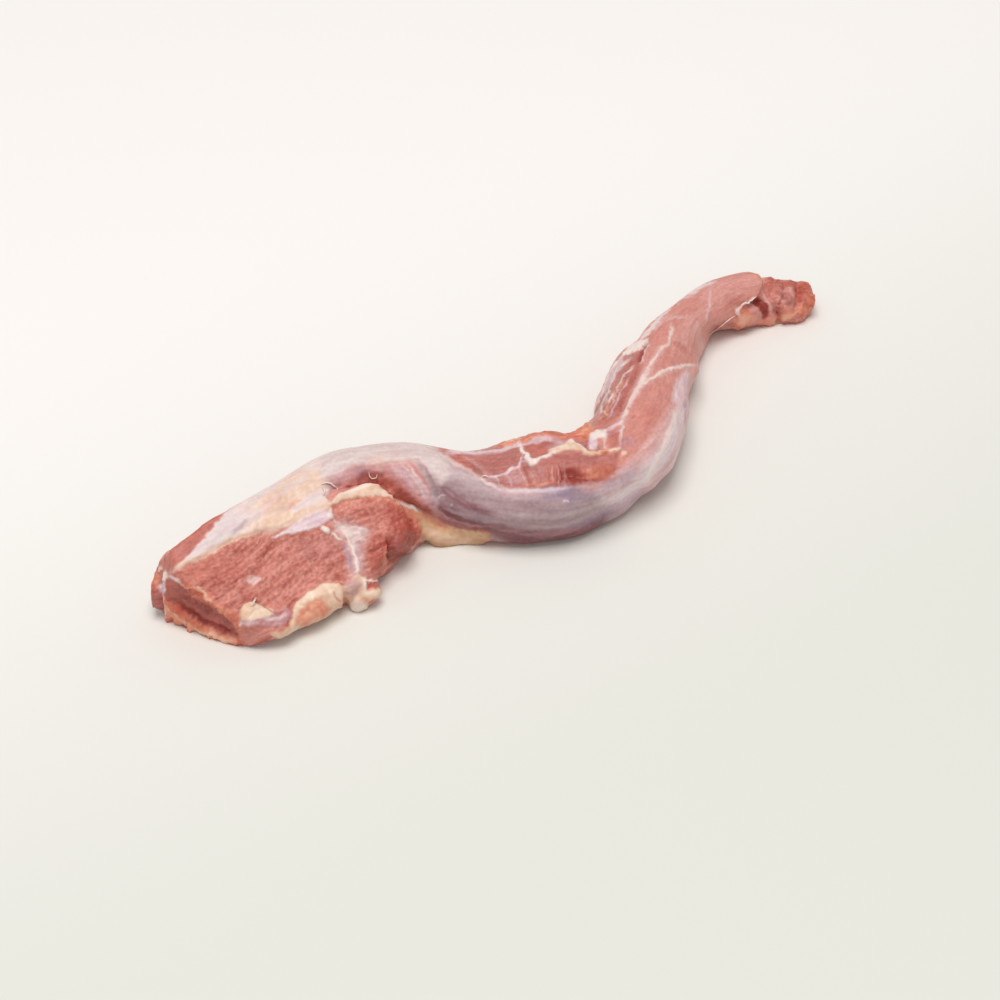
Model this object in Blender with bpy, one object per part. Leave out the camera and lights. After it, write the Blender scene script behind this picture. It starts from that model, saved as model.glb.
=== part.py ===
"""A raw lamb fillet: one long muscle with its thick, knife-cut head, lying in a loose S on a table.

Blender 4.5, metres, +Z up. The table is the plane z = 0, and the origin is the middle of the
fillet's bounding box on that plane. The head lies towards -X and -Y, the thin tail towards +X and +Y.
"""

import math
from collections import namedtuple

import bmesh
import bpy
from mathutils import Vector

MM = 0.001

# Driving dimensions, in millimetres. The sections below are laid out from a drawing point that
# lies DRAWING_MIDDLE away from the middle of the finished fillet.
DRAWING_MIDDLE = Vector((0.9, 17.2, 0))
FLOOR_SINK = 1.6
FLOOR_SNAP = 0.05
RING_STEP = 2.5
RING_SIDES = 40
VOXEL = 1.0
SMOOTHING_ROUNDS = 4
TRIANGLES = 9000

MEAT_COLOUR = (0.50, 0.16, 0.13, 1)
MEAT_ROUGHNESS = 0.45

# One cross-section of a muscle: where its axis stands on the table, how wide and high it is there,
# how far it is lifted off the table, how much it is turned about its axis towards the near side,
# and how square it is (2 is an ellipse).
Section = namedtuple("Section", "x y width height lift turn square")

# The long muscle, from beyond the cut head end to the start of the thin tail
LONG_MUSCLE = (
    Section(-101, -64, 12, 21, 0, 0, 2.2),
    Section(-90, -50, 14, 23, 0, 0, 2.2),
    Section(-76, -38, 17, 25, 0, 0, 2.1),
    Section(-60, -25, 22, 26, 0, 0, 2.0),
    Section(-44, -13, 25, 27, 0, 0, 2.0),
    Section(-29, -8, 26, 26, 0, 0, 2.0),
    Section(-15, -7, 24, 23, 0, 0, 2.1),
    Section(-3, -9, 28, 24, 0, 0, 2.1),
    Section(12, -8, 34, 27, 0, 0, 2.1),
    Section(24, -5, 31, 27, 0, 0, 2.1),
    Section(35, 5, 28, 27, 0, 0, 2.1),
    Section(41, 20, 26, 26, 0, 0, 2.1),
    Section(44, 37, 24, 24, 0, 0, 2.1),
    Section(48, 52, 21, 22, 0, 0, 2.1),
    Section(53, 65, 17, 20, 0, 0, 2.1),
    Section(61, 77, 15, 18, 0, 0, 2.1),
    Section(69, 86, 16, 18, 0, 0, 2.1),
    Section(78, 89, 16, 17, 0, 0, 2.1),
)

# The broad muscle beside it in the head, whose sloping top was laid open by the knife
HEAD_MUSCLE = (
    Section(-91, -70, 28, 34, 0, 0, 4.0),
    Section(-75, -54, 31, 34, 0, 0, 4.0),
    Section(-65, -47, 34, 33, 0, 0, 3.6),
    Section(-54, -38, 33, 32, 0, 0, 3.0),
    Section(-44, -30, 31, 29, 0, 0, 2.6),
    Section(-35, -24, 25, 26, 0, 0, 2.4),
    Section(-29, -20, 17, 21, 0, 0, 2.3),
)

# A short lobe at the inner corner of the head
HEAD_LOBE = (
    Section(-38, -34, 7, 12, 0, 0, 2.2),
    Section(-32, -29, 11, 15, 0, 0, 2.2),
    Section(-28, -24, 9, 14, 0, 0, 2.2),
    Section(-26, -21, 6, 11, 0, 0, 2.2),
)

# The thin, flattened end of the tail
TAIL_END = (
    Section(72, 88, 12, 14, 0, 0, 2.3),
    Section(82, 90, 15, 13, 0, 0, 2.6),
    Section(91, 91, 16, 11, 0, 0, 2.6),
    Section(98, 92, 13, 8, 0, 0, 2.6),
)

# A flap of fat that spreads on the table from under the long muscle
FAT_FLAP = (
    Section(-32, -20, 12, 15, 0, 0, 2.4),
    Section(-23, -15, 13, 10, 0, 0, 2.4),
    Section(-14, -15, 13, 7, 0, 0, 2.6),
    Section(-5, -14, 10, 6, 0, 0, 2.6),
)

# Lumps of fat along the near edge of the head, and the ball of fat at its corner
FAT_RIM = (
    Section(-64, -56, 6, 8, 0, 0, 2.0),
    Section(-57, -54, 8, 11, 0, 0, 2.0),
    Section(-49, -48, 9, 13, 0, 0, 2.0),
    Section(-43, -42, 7, 12, 0, 0, 2.0),
)
FAT_BALL = (
    Section(-42, -43, 6, 7, 2, 0, 2.0),
    Section(-39, -43, 10, 11, 0, 0, 2.0),
    Section(-36, -42, 10, 11, 0, 0, 2.0),
    Section(-34, -41, 6, 7, 2, 0, 2.0),
)

# A ragged strip of muscle along the far edge of the middle
BACK_STRIP = (
    Section(-12, -2, 6, 6, 11, 0, 2.0),
    Section(0, 0, 10, 8, 13, 0, 2.0),
    Section(11, 2, 11, 8, 14, 0, 2.0),
    Section(22, 4, 9, 8, 10, 0, 2.0),
)

# The stringy side strap along the far side of the thin half
SIDE_STRAP = (
    Section(30, 12, 10, 13, 0, 0, 2.0),
    Section(35, 27, 11, 17, 0, 0, 2.0),
    Section(36, 43, 12, 18, 0, 0, 2.0),
    Section(43, 57, 11, 17, 0, 0, 2.0),
    Section(52, 69, 9, 14, 0, 0, 2.0),
)

# The knife's cuts: a point on each and its outward direction
TOP_CUT = (Vector((-58, -45, 15.5)), Vector((0.25, -0.46, 0.85)))
END_CUTS = (
    (Vector((-80, -57.5, 0)), Vector((-0.39, -0.92, 0.05))),
    (Vector((-97, -48, 0)), Vector((-0.81, -0.50, 0.28))),
)


def smooth_between(before, start, end, after, share):
    """A Catmull-Rom value between start and end, for a number or a tuple of numbers."""
    if isinstance(start, tuple):
        parts = zip(before, start, end, after)
        return Section(*(smooth_between(*part, share) for part in parts))
    bend = 2 * before - 5 * start + 4 * end - after
    twist = 3 * (start - end) + after - before
    return start + 0.5 * share * (end - before + share * (bend + share * twist))


def fine_sections(sections):
    """The named sections with smooth ones between them, about RING_STEP apart."""
    padded = (sections[0], *sections, sections[-1])
    fine = []
    for before, start, end, after in zip(padded, padded[1:], padded[2:], padded[3:]):
        gap = math.hypot(end.x - start.x, end.y - start.y)
        steps = max(1, round(gap / RING_STEP))
        fine += [smooth_between(before, start, end, after, i / steps) for i in range(steps)]
    return fine + [sections[-1]]


def ring_points(section, heading):
    """The outline of one cross-section, standing upright across its heading."""
    across = Vector((math.sin(heading), -math.cos(heading), 0))
    middle = Vector((section.x, section.y, section.lift + section.height / 2 - FLOOR_SINK))
    middle -= DRAWING_MIDDLE
    turn = math.radians(section.turn)
    points = []
    for i in range(RING_SIDES):
        angle = 2 * math.pi * i / RING_SIDES
        c, s = math.cos(angle), math.sin(angle)
        side = section.width / 2 * math.copysign(abs(c) ** (2 / section.square), c)
        up = section.height / 2 * math.copysign(abs(s) ** (2 / section.square), s)
        near = side * math.cos(turn) + up * math.sin(turn)
        high = up * math.cos(turn) - side * math.sin(turn)
        points.append((middle + across * near + Vector((0, 0, high))) * MM)
    return points


def muscle(name, sections, collection):
    """A closed body lofted through the cross-sections, with rounded ends."""
    fine = fine_sections(sections)
    mesh = bmesh.new()
    rings = []
    for i, section in enumerate(fine):
        ahead, behind = fine[min(i + 1, len(fine) - 1)], fine[max(i - 1, 0)]
        heading = math.atan2(ahead.y - behind.y, ahead.x - behind.x)
        rings.append([mesh.verts.new(point) for point in ring_points(section, heading)])
    for ring, following in zip(rings, rings[1:]):
        for i in range(RING_SIDES):
            j = (i + 1) % RING_SIDES
            mesh.faces.new((ring[i], ring[j], following[j], following[i]))
    mesh.faces.new(rings[0][::-1])
    mesh.faces.new(rings[-1])
    bmesh.ops.recalc_face_normals(mesh, faces=mesh.faces)
    data = bpy.data.meshes.new(name)
    mesh.to_mesh(data)
    mesh.free()
    body = bpy.data.objects.new(name, data)
    collection.objects.link(body)
    return body


def knife(body, cut):
    """Slices off what lies beyond the cut and closes the body with a flat face there."""
    point, outward = cut
    mesh = bmesh.new()
    mesh.from_mesh(body.data)
    everything = mesh.verts[:] + mesh.edges[:] + mesh.faces[:]
    made = bmesh.ops.bisect_plane(
        mesh,
        geom=everything,
        plane_co=(point - DRAWING_MIDDLE) * MM,
        plane_no=outward,
        clear_outer=True,
    )
    rim = [item for item in made["geom_cut"] if isinstance(item, bmesh.types.BMEdge)]
    bmesh.ops.holes_fill(mesh, edges=rim, sides=0)
    bmesh.ops.recalc_face_normals(mesh, faces=mesh.faces)
    mesh.to_mesh(body.data)
    mesh.free()


def press_on_table(body):
    """Presses whatever reaches the table, or sank below it, flat on z = 0."""
    for vertex in body.data.vertices:
        if vertex.co.z < FLOOR_SNAP * MM:
            vertex.co.z = 0


def bring_to_origin(body):
    """Moves the mesh so that the middle of its box stands over the origin."""
    across = [vertex.co.x for vertex in body.data.vertices]
    along = [vertex.co.y for vertex in body.data.vertices]
    middle = Vector((max(across) + min(across), max(along) + min(along), 0)) / 2
    for vertex in body.data.vertices:
        vertex.co -= middle


def raw_meat():
    """Fresh, moist red meat."""
    material = bpy.data.materials.new("raw_lamb")
    material.use_nodes = True
    shader = material.node_tree.nodes["Principled BSDF"]
    shader.inputs["Base Color"].default_value = MEAT_COLOUR
    shader.inputs["Roughness"].default_value = MEAT_ROUGHNESS
    shader.inputs["Metallic"].default_value = 0
    return material


def apply_modifiers(body):
    bpy.context.view_layer.objects.active = body
    for modifier in list(body.modifiers):
        bpy.ops.object.modifier_apply(modifier=modifier.name)


def main():
    for old in list(bpy.data.objects):
        bpy.data.objects.remove(old)
    pieces = bpy.data.collections.new("pieces")
    bpy.context.scene.collection.children.link(pieces)
    fillet = muscle("lamb_fillet", LONG_MUSCLE, bpy.context.scene.collection)
    head = muscle("head", HEAD_MUSCLE, pieces)
    knife(head, TOP_CUT)
    for cut in END_CUTS:
        knife(head, cut)
        knife(fillet, cut)
    lobes = {
        "head_lobe": HEAD_LOBE,
        "tail": TAIL_END,
        "flap": FAT_FLAP,
        "fat_rim": FAT_RIM,
        "fat_ball": FAT_BALL,
        "back_strip": BACK_STRIP,
        "side_strap": SIDE_STRAP,
    }
    for name, sections in lobes.items():
        muscle(name, sections, pieces)

    join = fillet.modifiers.new("join", "BOOLEAN")
    join.operation = "UNION"
    join.operand_type = "COLLECTION"
    join.collection = pieces
    skin = fillet.modifiers.new("skin", "REMESH")
    skin.mode = "VOXEL"
    skin.voxel_size = VOXEL * MM
    soften = fillet.modifiers.new("soften", "SMOOTH")
    soften.iterations = SMOOTHING_ROUNDS
    soften.factor = 0.5
    apply_modifiers(fillet)
    press_on_table(fillet)
    fewer = fillet.modifiers.new("fewer", "DECIMATE")
    fewer.ratio = TRIANGLES / sum(len(face.vertices) - 2 for face in fillet.data.polygons)
    fewer.use_collapse_triangulate = True
    apply_modifiers(fillet)
    for piece in list(pieces.objects):
        bpy.data.objects.remove(piece)
    bpy.data.collections.remove(pieces)

    press_on_table(fillet)
    bring_to_origin(fillet)
    fillet.data.materials.append(raw_meat())
    for face in fillet.data.polygons:
        face.use_smooth = True


main()
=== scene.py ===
"""The looks of a raw lamb fillet: lean, silverskin, fat and sinew on the frame that the CAD gives."""

import math
from collections import namedtuple

import bmesh
import bpy
import numpy as np
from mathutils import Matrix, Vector, noise
from mathutils.bvhtree import BVHTree


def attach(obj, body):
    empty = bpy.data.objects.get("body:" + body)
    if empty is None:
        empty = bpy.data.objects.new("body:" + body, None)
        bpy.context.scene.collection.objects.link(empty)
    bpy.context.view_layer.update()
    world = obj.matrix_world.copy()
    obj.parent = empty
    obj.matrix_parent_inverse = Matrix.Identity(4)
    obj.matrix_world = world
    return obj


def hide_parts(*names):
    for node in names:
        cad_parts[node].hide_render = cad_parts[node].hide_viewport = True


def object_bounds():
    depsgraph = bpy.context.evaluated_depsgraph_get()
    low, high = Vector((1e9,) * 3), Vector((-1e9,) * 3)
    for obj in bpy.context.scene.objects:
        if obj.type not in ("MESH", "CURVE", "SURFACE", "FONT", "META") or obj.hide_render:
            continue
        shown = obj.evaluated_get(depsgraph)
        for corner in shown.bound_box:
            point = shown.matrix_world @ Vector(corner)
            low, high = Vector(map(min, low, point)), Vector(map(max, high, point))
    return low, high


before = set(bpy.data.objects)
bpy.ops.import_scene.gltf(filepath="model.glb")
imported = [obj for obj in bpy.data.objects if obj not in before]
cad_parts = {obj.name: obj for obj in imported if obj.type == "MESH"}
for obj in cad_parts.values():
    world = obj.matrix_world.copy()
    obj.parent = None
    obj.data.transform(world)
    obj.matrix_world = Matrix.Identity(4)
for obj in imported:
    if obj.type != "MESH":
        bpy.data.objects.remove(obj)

cad_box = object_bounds()

# The view: a camera on the near side of the table, looking down at the meat as the photograph does.
# A place on the meat is named below by its pixel in the photograph, 1000 pixels a side, and lies
# where the line of sight through that pixel meets the meat.
MM = 0.001
LOOK_DOWN = math.radians(40)
CAMERA_DISTANCE = 800 * MM
AIM = Vector((-1.63, -17.45, 0)) * MM
LENS = 100
SENSOR = 36
PHOTO_SIDE = 1000
PIXEL = SENSOR / LENS / PHOTO_SIDE

sight = Vector((0, math.cos(LOOK_DOWN), -math.sin(LOOK_DOWN)))
right = Vector((1, 0, 0))
up = right.cross(sight)
eye = AIM - sight * CAMERA_DISTANCE

bpy.ops.object.camera_add(location=eye)
camera = bpy.context.object
camera.rotation_mode = "QUATERNION"
camera.rotation_quaternion = sight.to_track_quat("-Z", "Y")
camera.data.lens = LENS
camera.data.sensor_width = SENSOR
camera.data.clip_start = 10 * MM
bpy.context.scene.camera = camera


def in_photo(points):
    """The pixel that each point, in metres, has in the photograph."""
    seen = points - np.array(eye)
    depth = seen @ np.array(sight)
    x = PHOTO_SIDE / 2 + seen @ np.array(right) / depth / PIXEL
    y = PHOTO_SIDE / 2 - seen @ np.array(up) / depth / PIXEL
    return x, y


def line_of_sight(x, y):
    across = (x - PHOTO_SIDE / 2) * PIXEL
    down = (y - PHOTO_SIDE / 2) * PIXEL
    return (sight + right * across - up * down).normalized()


# The muscle: one long fillet that a butcher pulled off the bone and trimmed. Its skin of connective
# tissue keeps it smooth, but the head was cut across and along its top with a knife. The mesh starts
# from the CAD solid, is made even and soft, and is then worked over like clay.
SKIN_VOXEL = 0.45 * MM
SOFTENING = 14
WELD = 0.01 * MM

bpy.ops.object.select_all(action="DESELECT")
muscle = bpy.data.objects.new("muscle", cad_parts["lamb_fillet"].data.copy())
bpy.context.scene.collection.objects.link(muscle)
muscle.select_set(True)
bpy.context.view_layer.objects.active = muscle
bpy.ops.object.mode_set(mode="EDIT")
bpy.ops.mesh.select_all(action="SELECT")
bpy.ops.mesh.remove_doubles(threshold=WELD)
bpy.ops.object.mode_set(mode="OBJECT")

even = muscle.modifiers.new("even", "REMESH")
even.mode = "VOXEL"
even.voxel_size = SKIN_VOXEL
soft = muscle.modifiers.new("soft", "SMOOTH")
soft.iterations = SOFTENING
soft.factor = 0.5
for modifier in ("even", "soft"):
    bpy.ops.object.modifier_apply(modifier=modifier)

# The far side and the underside take no fine relief, so their faces are merged into larger ones.
KEPT_FACES = 0.63
SEEN_FACING = -0.15
hidden = muscle.vertex_groups.new(name="hidden")
for vertex in muscle.data.vertices:
    if vertex.normal.dot((eye - vertex.co).normalized()) < SEEN_FACING:
        hidden.add([vertex.index], 1, "REPLACE")
sparse = muscle.modifiers.new("sparse", "DECIMATE")
sparse.ratio = KEPT_FACES
sparse.vertex_group = "hidden"
bpy.ops.object.modifier_apply(modifier="sparse")

count = len(muscle.data.vertices)
place = np.zeros(count * 3)
muscle.data.vertices.foreach_get("co", place)
place = place.reshape(-1, 3)

# The slack muscle gives a little: a push moves what lies round a pixel, so many millimetres to the
# right and away from the camera.
Push = namedtuple("Push", "x y radius right away")
PUSHES = (
    Push(185, 541, 24, 0.5, -1.2),
    Push(462, 449, 26, 0, -1.8),
    Push(573, 432, 18, 0, -1.7),
    Push(610, 368, 24, 1.2, 0),
    Push(637, 345, 16, 0.8, -0.6),
    Push(722, 277, 16, 0, -1.2),
    Push(758, 276, 11, 0.3, 1.2),
    Push(800, 300, 22, 0.2, 1.8),
    Push(225, 644, 42, -0.2, -1.0),
    Push(149, 592, 12, -2.6, 0),
    Push(152, 617, 9, 2.2, 0.6),
    Push(189, 631, 4, 0, -1.2),
    Push(545, 546, 26, 0, 2.2),
    Push(578, 538, 22, 0, 1.6),
    Push(606, 524, 24, -0.6, 3.8),
    Push(640, 504, 22, -1.0, 4.4),
    Push(662, 482, 12, -0.8, 0.8),
    Push(591, 425, 8, -1.2, -0.6),
    Push(757, 280, 12, 3.2, 0.4),
    Push(717, 339, 13, -1.0, 3.8),
    Push(699, 370, 13, 1.2, 0),
    Push(815, 319, 9, -1.6, 3.2),
    Push(819, 300, 6, 1.0, 0),
    Push(401, 563, 13, -0.6, 3.4),
    Push(455, 548, 20, 0, 1.2),
    Push(426, 547, 7, 0, 2.4),
    Push(785, 330, 15, 0, 1.1),
    Push(806, 284, 8, 0.4, 0.9),
)
px, py = in_photo(place)
for push in PUSHES:
    near = np.exp(-(((px - push.x) ** 2 + (py - push.y) ** 2) / push.radius**2))
    place[:, 0] += push.right * MM * near
    place[:, 1] += push.away * MM * near
muscle.data.vertices.foreach_set("co", place.ravel())
muscle.data.update()

outward = np.zeros(count * 3)
muscle.data.vertex_normals.foreach_get("vector", outward)
outward = outward.reshape(-1, 3)

# Its own weight spreads the limp middle of the muscle on the table, so that it doesn't overhang. That
# is the near side, between two columns of pixels, and it fades out over so many pixels inside them.
SAG = 3.6 * MM
SAG_HEIGHT = 9 * MM
SAG_CURVE = 1.5
UNDERSIDE = 0.5 * MM
FAR_SIDE_FACING = 0.2
LIMP_FROM = 470
LIMP_TO = 680
LIMP_FADE_IN = 60
LIMP_FADE_OUT = 70
TINY = 1e-3
low = np.clip(1 - place[:, 2] / SAG_HEIGHT, 0, 1) ** SAG_CURVE * (place[:, 2] > UNDERSIDE)
limp = np.clip((px - LIMP_FROM) / LIMP_FADE_IN, 0, 1) * np.clip((LIMP_TO - px) / LIMP_FADE_OUT, 0, 1)
spread = outward[:, :2] / (np.linalg.norm(outward[:, :2], axis=1) + TINY)[:, None]
place[:, :2] += spread * (SAG * low * limp * (outward[:, 1] < FAR_SIDE_FACING))[:, None]

# The firm head rounds in at its foot instead, and shades the table under its edge. Its foot moves
# this share of the way to the head's middle line.
TUCK = 0.055
TUCK_HEIGHT = 5 * MM
TUCK_CURVE = 1.3
HEAD_TO = 400
HEAD_FADE = 60
HEAD_AXIS = np.array(((-80, -61), (-36, -33))) * MM
along_axis = HEAD_AXIS[1] - HEAD_AXIS[0]
share = np.clip((place[:, :2] - HEAD_AXIS[0]) @ along_axis / (along_axis @ along_axis), 0, 1)
from_axis = place[:, :2] - HEAD_AXIS[0] - share[:, None] * along_axis
foot = np.clip(1 - place[:, 2] / TUCK_HEIGHT, 0, 1) ** TUCK_CURVE
foot *= np.clip((HEAD_TO - px) / HEAD_FADE, 0, 1)
place[:, :2] -= from_axis * (TUCK * foot)[:, None]
muscle.data.vertices.foreach_set("co", place.ravel())
muscle.data.update()
muscle.data.vertex_normals.foreach_get("vector", outward.ravel())
towards_eye = np.array(eye) - place
towards_eye /= np.linalg.norm(towards_eye, axis=1)[:, None]
facing = (outward * towards_eye).sum(1)
px, py = in_photo(place)


def ease(low, high, value):
    """From 0 where the value is low to 1 where it is high, without a corner at either end."""
    share = np.clip((value - low) / (high - low), 0, 1)
    return share * share * (3 - 2 * share)


# The noise by itself reaches about 0.6.
NOISE_GAIN = 1.6


def cloud(points, size, seed=0.0):
    """Smooth noise from about -1 to 1 at points in metres, with lumps of that size."""
    scaled = points / size + seed
    return np.array([noise.noise(Vector(p)) for p in scaled]) * NOISE_GAIN


def rounded(points, closed=False, steps=5):
    """A smooth line through the points."""
    points = np.array(points, float)
    if closed:
        padded = np.vstack([points[-1:], points, points[:2]])
    else:
        padded = np.vstack([points[:1], points, points[-1:]])
    line = []
    for a, b, c, d in zip(padded, padded[1:], padded[2:], padded[3:]):
        for share in np.arange(steps) / steps:
            bend = 2 * a - 5 * b + 4 * c - d + share * (3 * (b - c) + d - a)
            line.append(b + 0.5 * share * (c - a + share * bend))
    if not closed:
        line.append(points[-1])
    return np.array(line)


NO_LENGTH = 1e-9


def beside(x, y, line):
    """How far each pixel is from a line, how far along it, and on which side."""
    nearest = np.full(len(x), np.inf)
    along = np.zeros(len(x))
    side = np.ones(len(x))
    run = 0.0
    for (ax, ay), (bx, by) in zip(line, line[1:]):
        dx, dy = bx - ax, by - ay
        length = math.hypot(dx, dy) + NO_LENGTH
        share = np.clip(((x - ax) * dx + (y - ay) * dy) / length**2, 0, 1)
        gap = np.hypot(x - ax - share * dx, y - ay - share * dy)
        closer = gap < nearest
        nearest = np.where(closer, gap, nearest)
        along = np.where(closer, run + share * length, along)
        side = np.where(closer, np.sign((x - ax) * dy - (y - ay) * dx), side)
        run += length
    return nearest, along, side


SEARCH_MARGIN = 30


def within(x, y, outline):
    """How many pixels each pixel lies inside an outline; outside it is below zero."""
    depth = np.full(len(x), -np.inf)
    low, high = outline.min(0) - SEARCH_MARGIN, outline.max(0) + SEARCH_MARGIN
    near = (x > low[0]) & (x < high[0]) & (y > low[1]) & (y < high[1])
    nx, ny = x[near], y[near]
    ring = np.vstack([outline, outline[:1]])
    gap = beside(nx, ny, ring)[0]
    inside = np.zeros(len(nx), bool)
    for (ax, ay), (bx, by) in zip(ring, ring[1:]):
        if ay != by:
            crosses = (ay > ny) != (by > ny)
            inside ^= crosses & (nx < (bx - ax) * (ny - ay) / (by - ay) + ax)
    depth[near] = np.where(inside, gap, -gap)
    return depth


# What the surface is made of, with shade painted on it: the plum and deep tones are painted shade along
# the silverskin's underside and in creases and hollows. Each tissue has a light and a dark tone, and how
# far its tones run in streaks along the fibres rather than in blotches.
Tissue = namedtuple("Tissue", "light dark streaked")
TISSUES = {
    "lean": Tissue("#dc968a", "#cb8176", 0.8),
    "dusk": Tissue("#c47d75", "#a45c54", 0.9),
    "cut": Tissue("#dc9081", "#a84f40", 0.9),
    "red": Tissue("#cd6f5d", "#a0402f", 0.7),
    "brown": Tissue("#c47268", "#9e5046", 0.5),
    # Painted shade: a dark red laid into creases and hollows, over the darker red that the meat has
    # there.
    "deep": Tissue("#a5352a", "#7a2018", 0.5),
    "torn": Tissue("#f0a786", "#cc5e45", 0.1),
    "milk": Tissue("#efe0de", "#dfcaca", 0.9),
    "peach": Tissue("#f3d8c4", "#e5b79a", 0.5),
    "pearl": Tissue("#e6d5d1", "#d2b8b5", 0.9),
    "silver": Tissue("#bfa5a8", "#a2888e", 1.0),
    "lilac": Tissue("#efdadd", "#d6b7c0", 0.9),
    "rose": Tissue("#dfbbb5", "#c99b96", 0.7),
    "mauve": Tissue("#d4a2a2", "#b77f81", 0.9),
    # Painted shade: a dark plum laid on the silverskin's underside and creases, over its own purplish
    # tint.
    "plum_shade": Tissue("#8f535b", "#6b3943", 1.0),
    "violet": Tissue("#ab94a9", "#927c94", 0.9),
    "veil": Tissue("#e6b6ae", "#d69c95", 0.9),
    "fat": Tissue("#f2dfc9", "#e1b291", 0.0),
    "flap": Tissue("#dcb692", "#bf8d68", 0.1),
    "white": Tissue("#f6ebe4", "#ead2c8", 0.3),
}

# A patch is a stretch of one tissue: its outline in the photograph, how soft its edge is in pixels,
# how dense it is, and how many millimetres it stands proud. A stroke is a band of tissue along a
# line, with its half width. They are laid on in this order. A fold is a line pressed in, or raised
# where its depth is below zero, and a lump is a rounded swelling, or a dip.
Patch = namedtuple("Patch", "tissue outline soft dense raised", defaults=(0,))
Stroke = namedtuple("Stroke", "tissue line half_width dense raised", defaults=(0,))
Fold = namedtuple("Fold", "line width depth")
Lump = namedtuple("Lump", "x y long short turn height")

CUT_TOP = [
    (160, 578), (174, 571), (183, 566), (195, 560), (209, 553), (221, 545), (233, 539), (247, 534),
    (264, 530), (276, 528), (300, 516), (330, 505), (348, 498), (390, 497), (407, 510), (419, 522),
    (420, 540), (405, 562), (386, 582), (372, 600), (330, 616), (300, 632), (270, 645), (240, 650),
    (200, 642), (168, 628), (144, 600), (146, 580),
]
END_FACE = [
    (166, 580), (174, 582), (182, 587), (188, 593), (196, 600), (205, 605), (214, 608), (221, 614),
    (229, 622), (236, 630), (240, 638), (230, 637), (220, 633), (208, 627), (197, 621), (188, 614),
    (179, 607), (171, 602), (165, 598),
]
BACK_BAND = [
    (171, 573), (179, 566), (188, 556), (196, 547), (205, 537), (215, 525), (225, 513), (234, 505),
    (246, 497), (256, 491), (270, 482), (288, 471), (305, 462), (320, 452), (334, 445), (350, 443),
    (352, 462), (342, 476), (334, 486), (326, 496), (330, 505), (320, 512), (306, 520), (290, 526),
    (272, 530), (262, 530), (247, 534), (233, 539), (221, 545), (209, 553), (195, 560), (183, 566),
    (174, 571),
]
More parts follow.
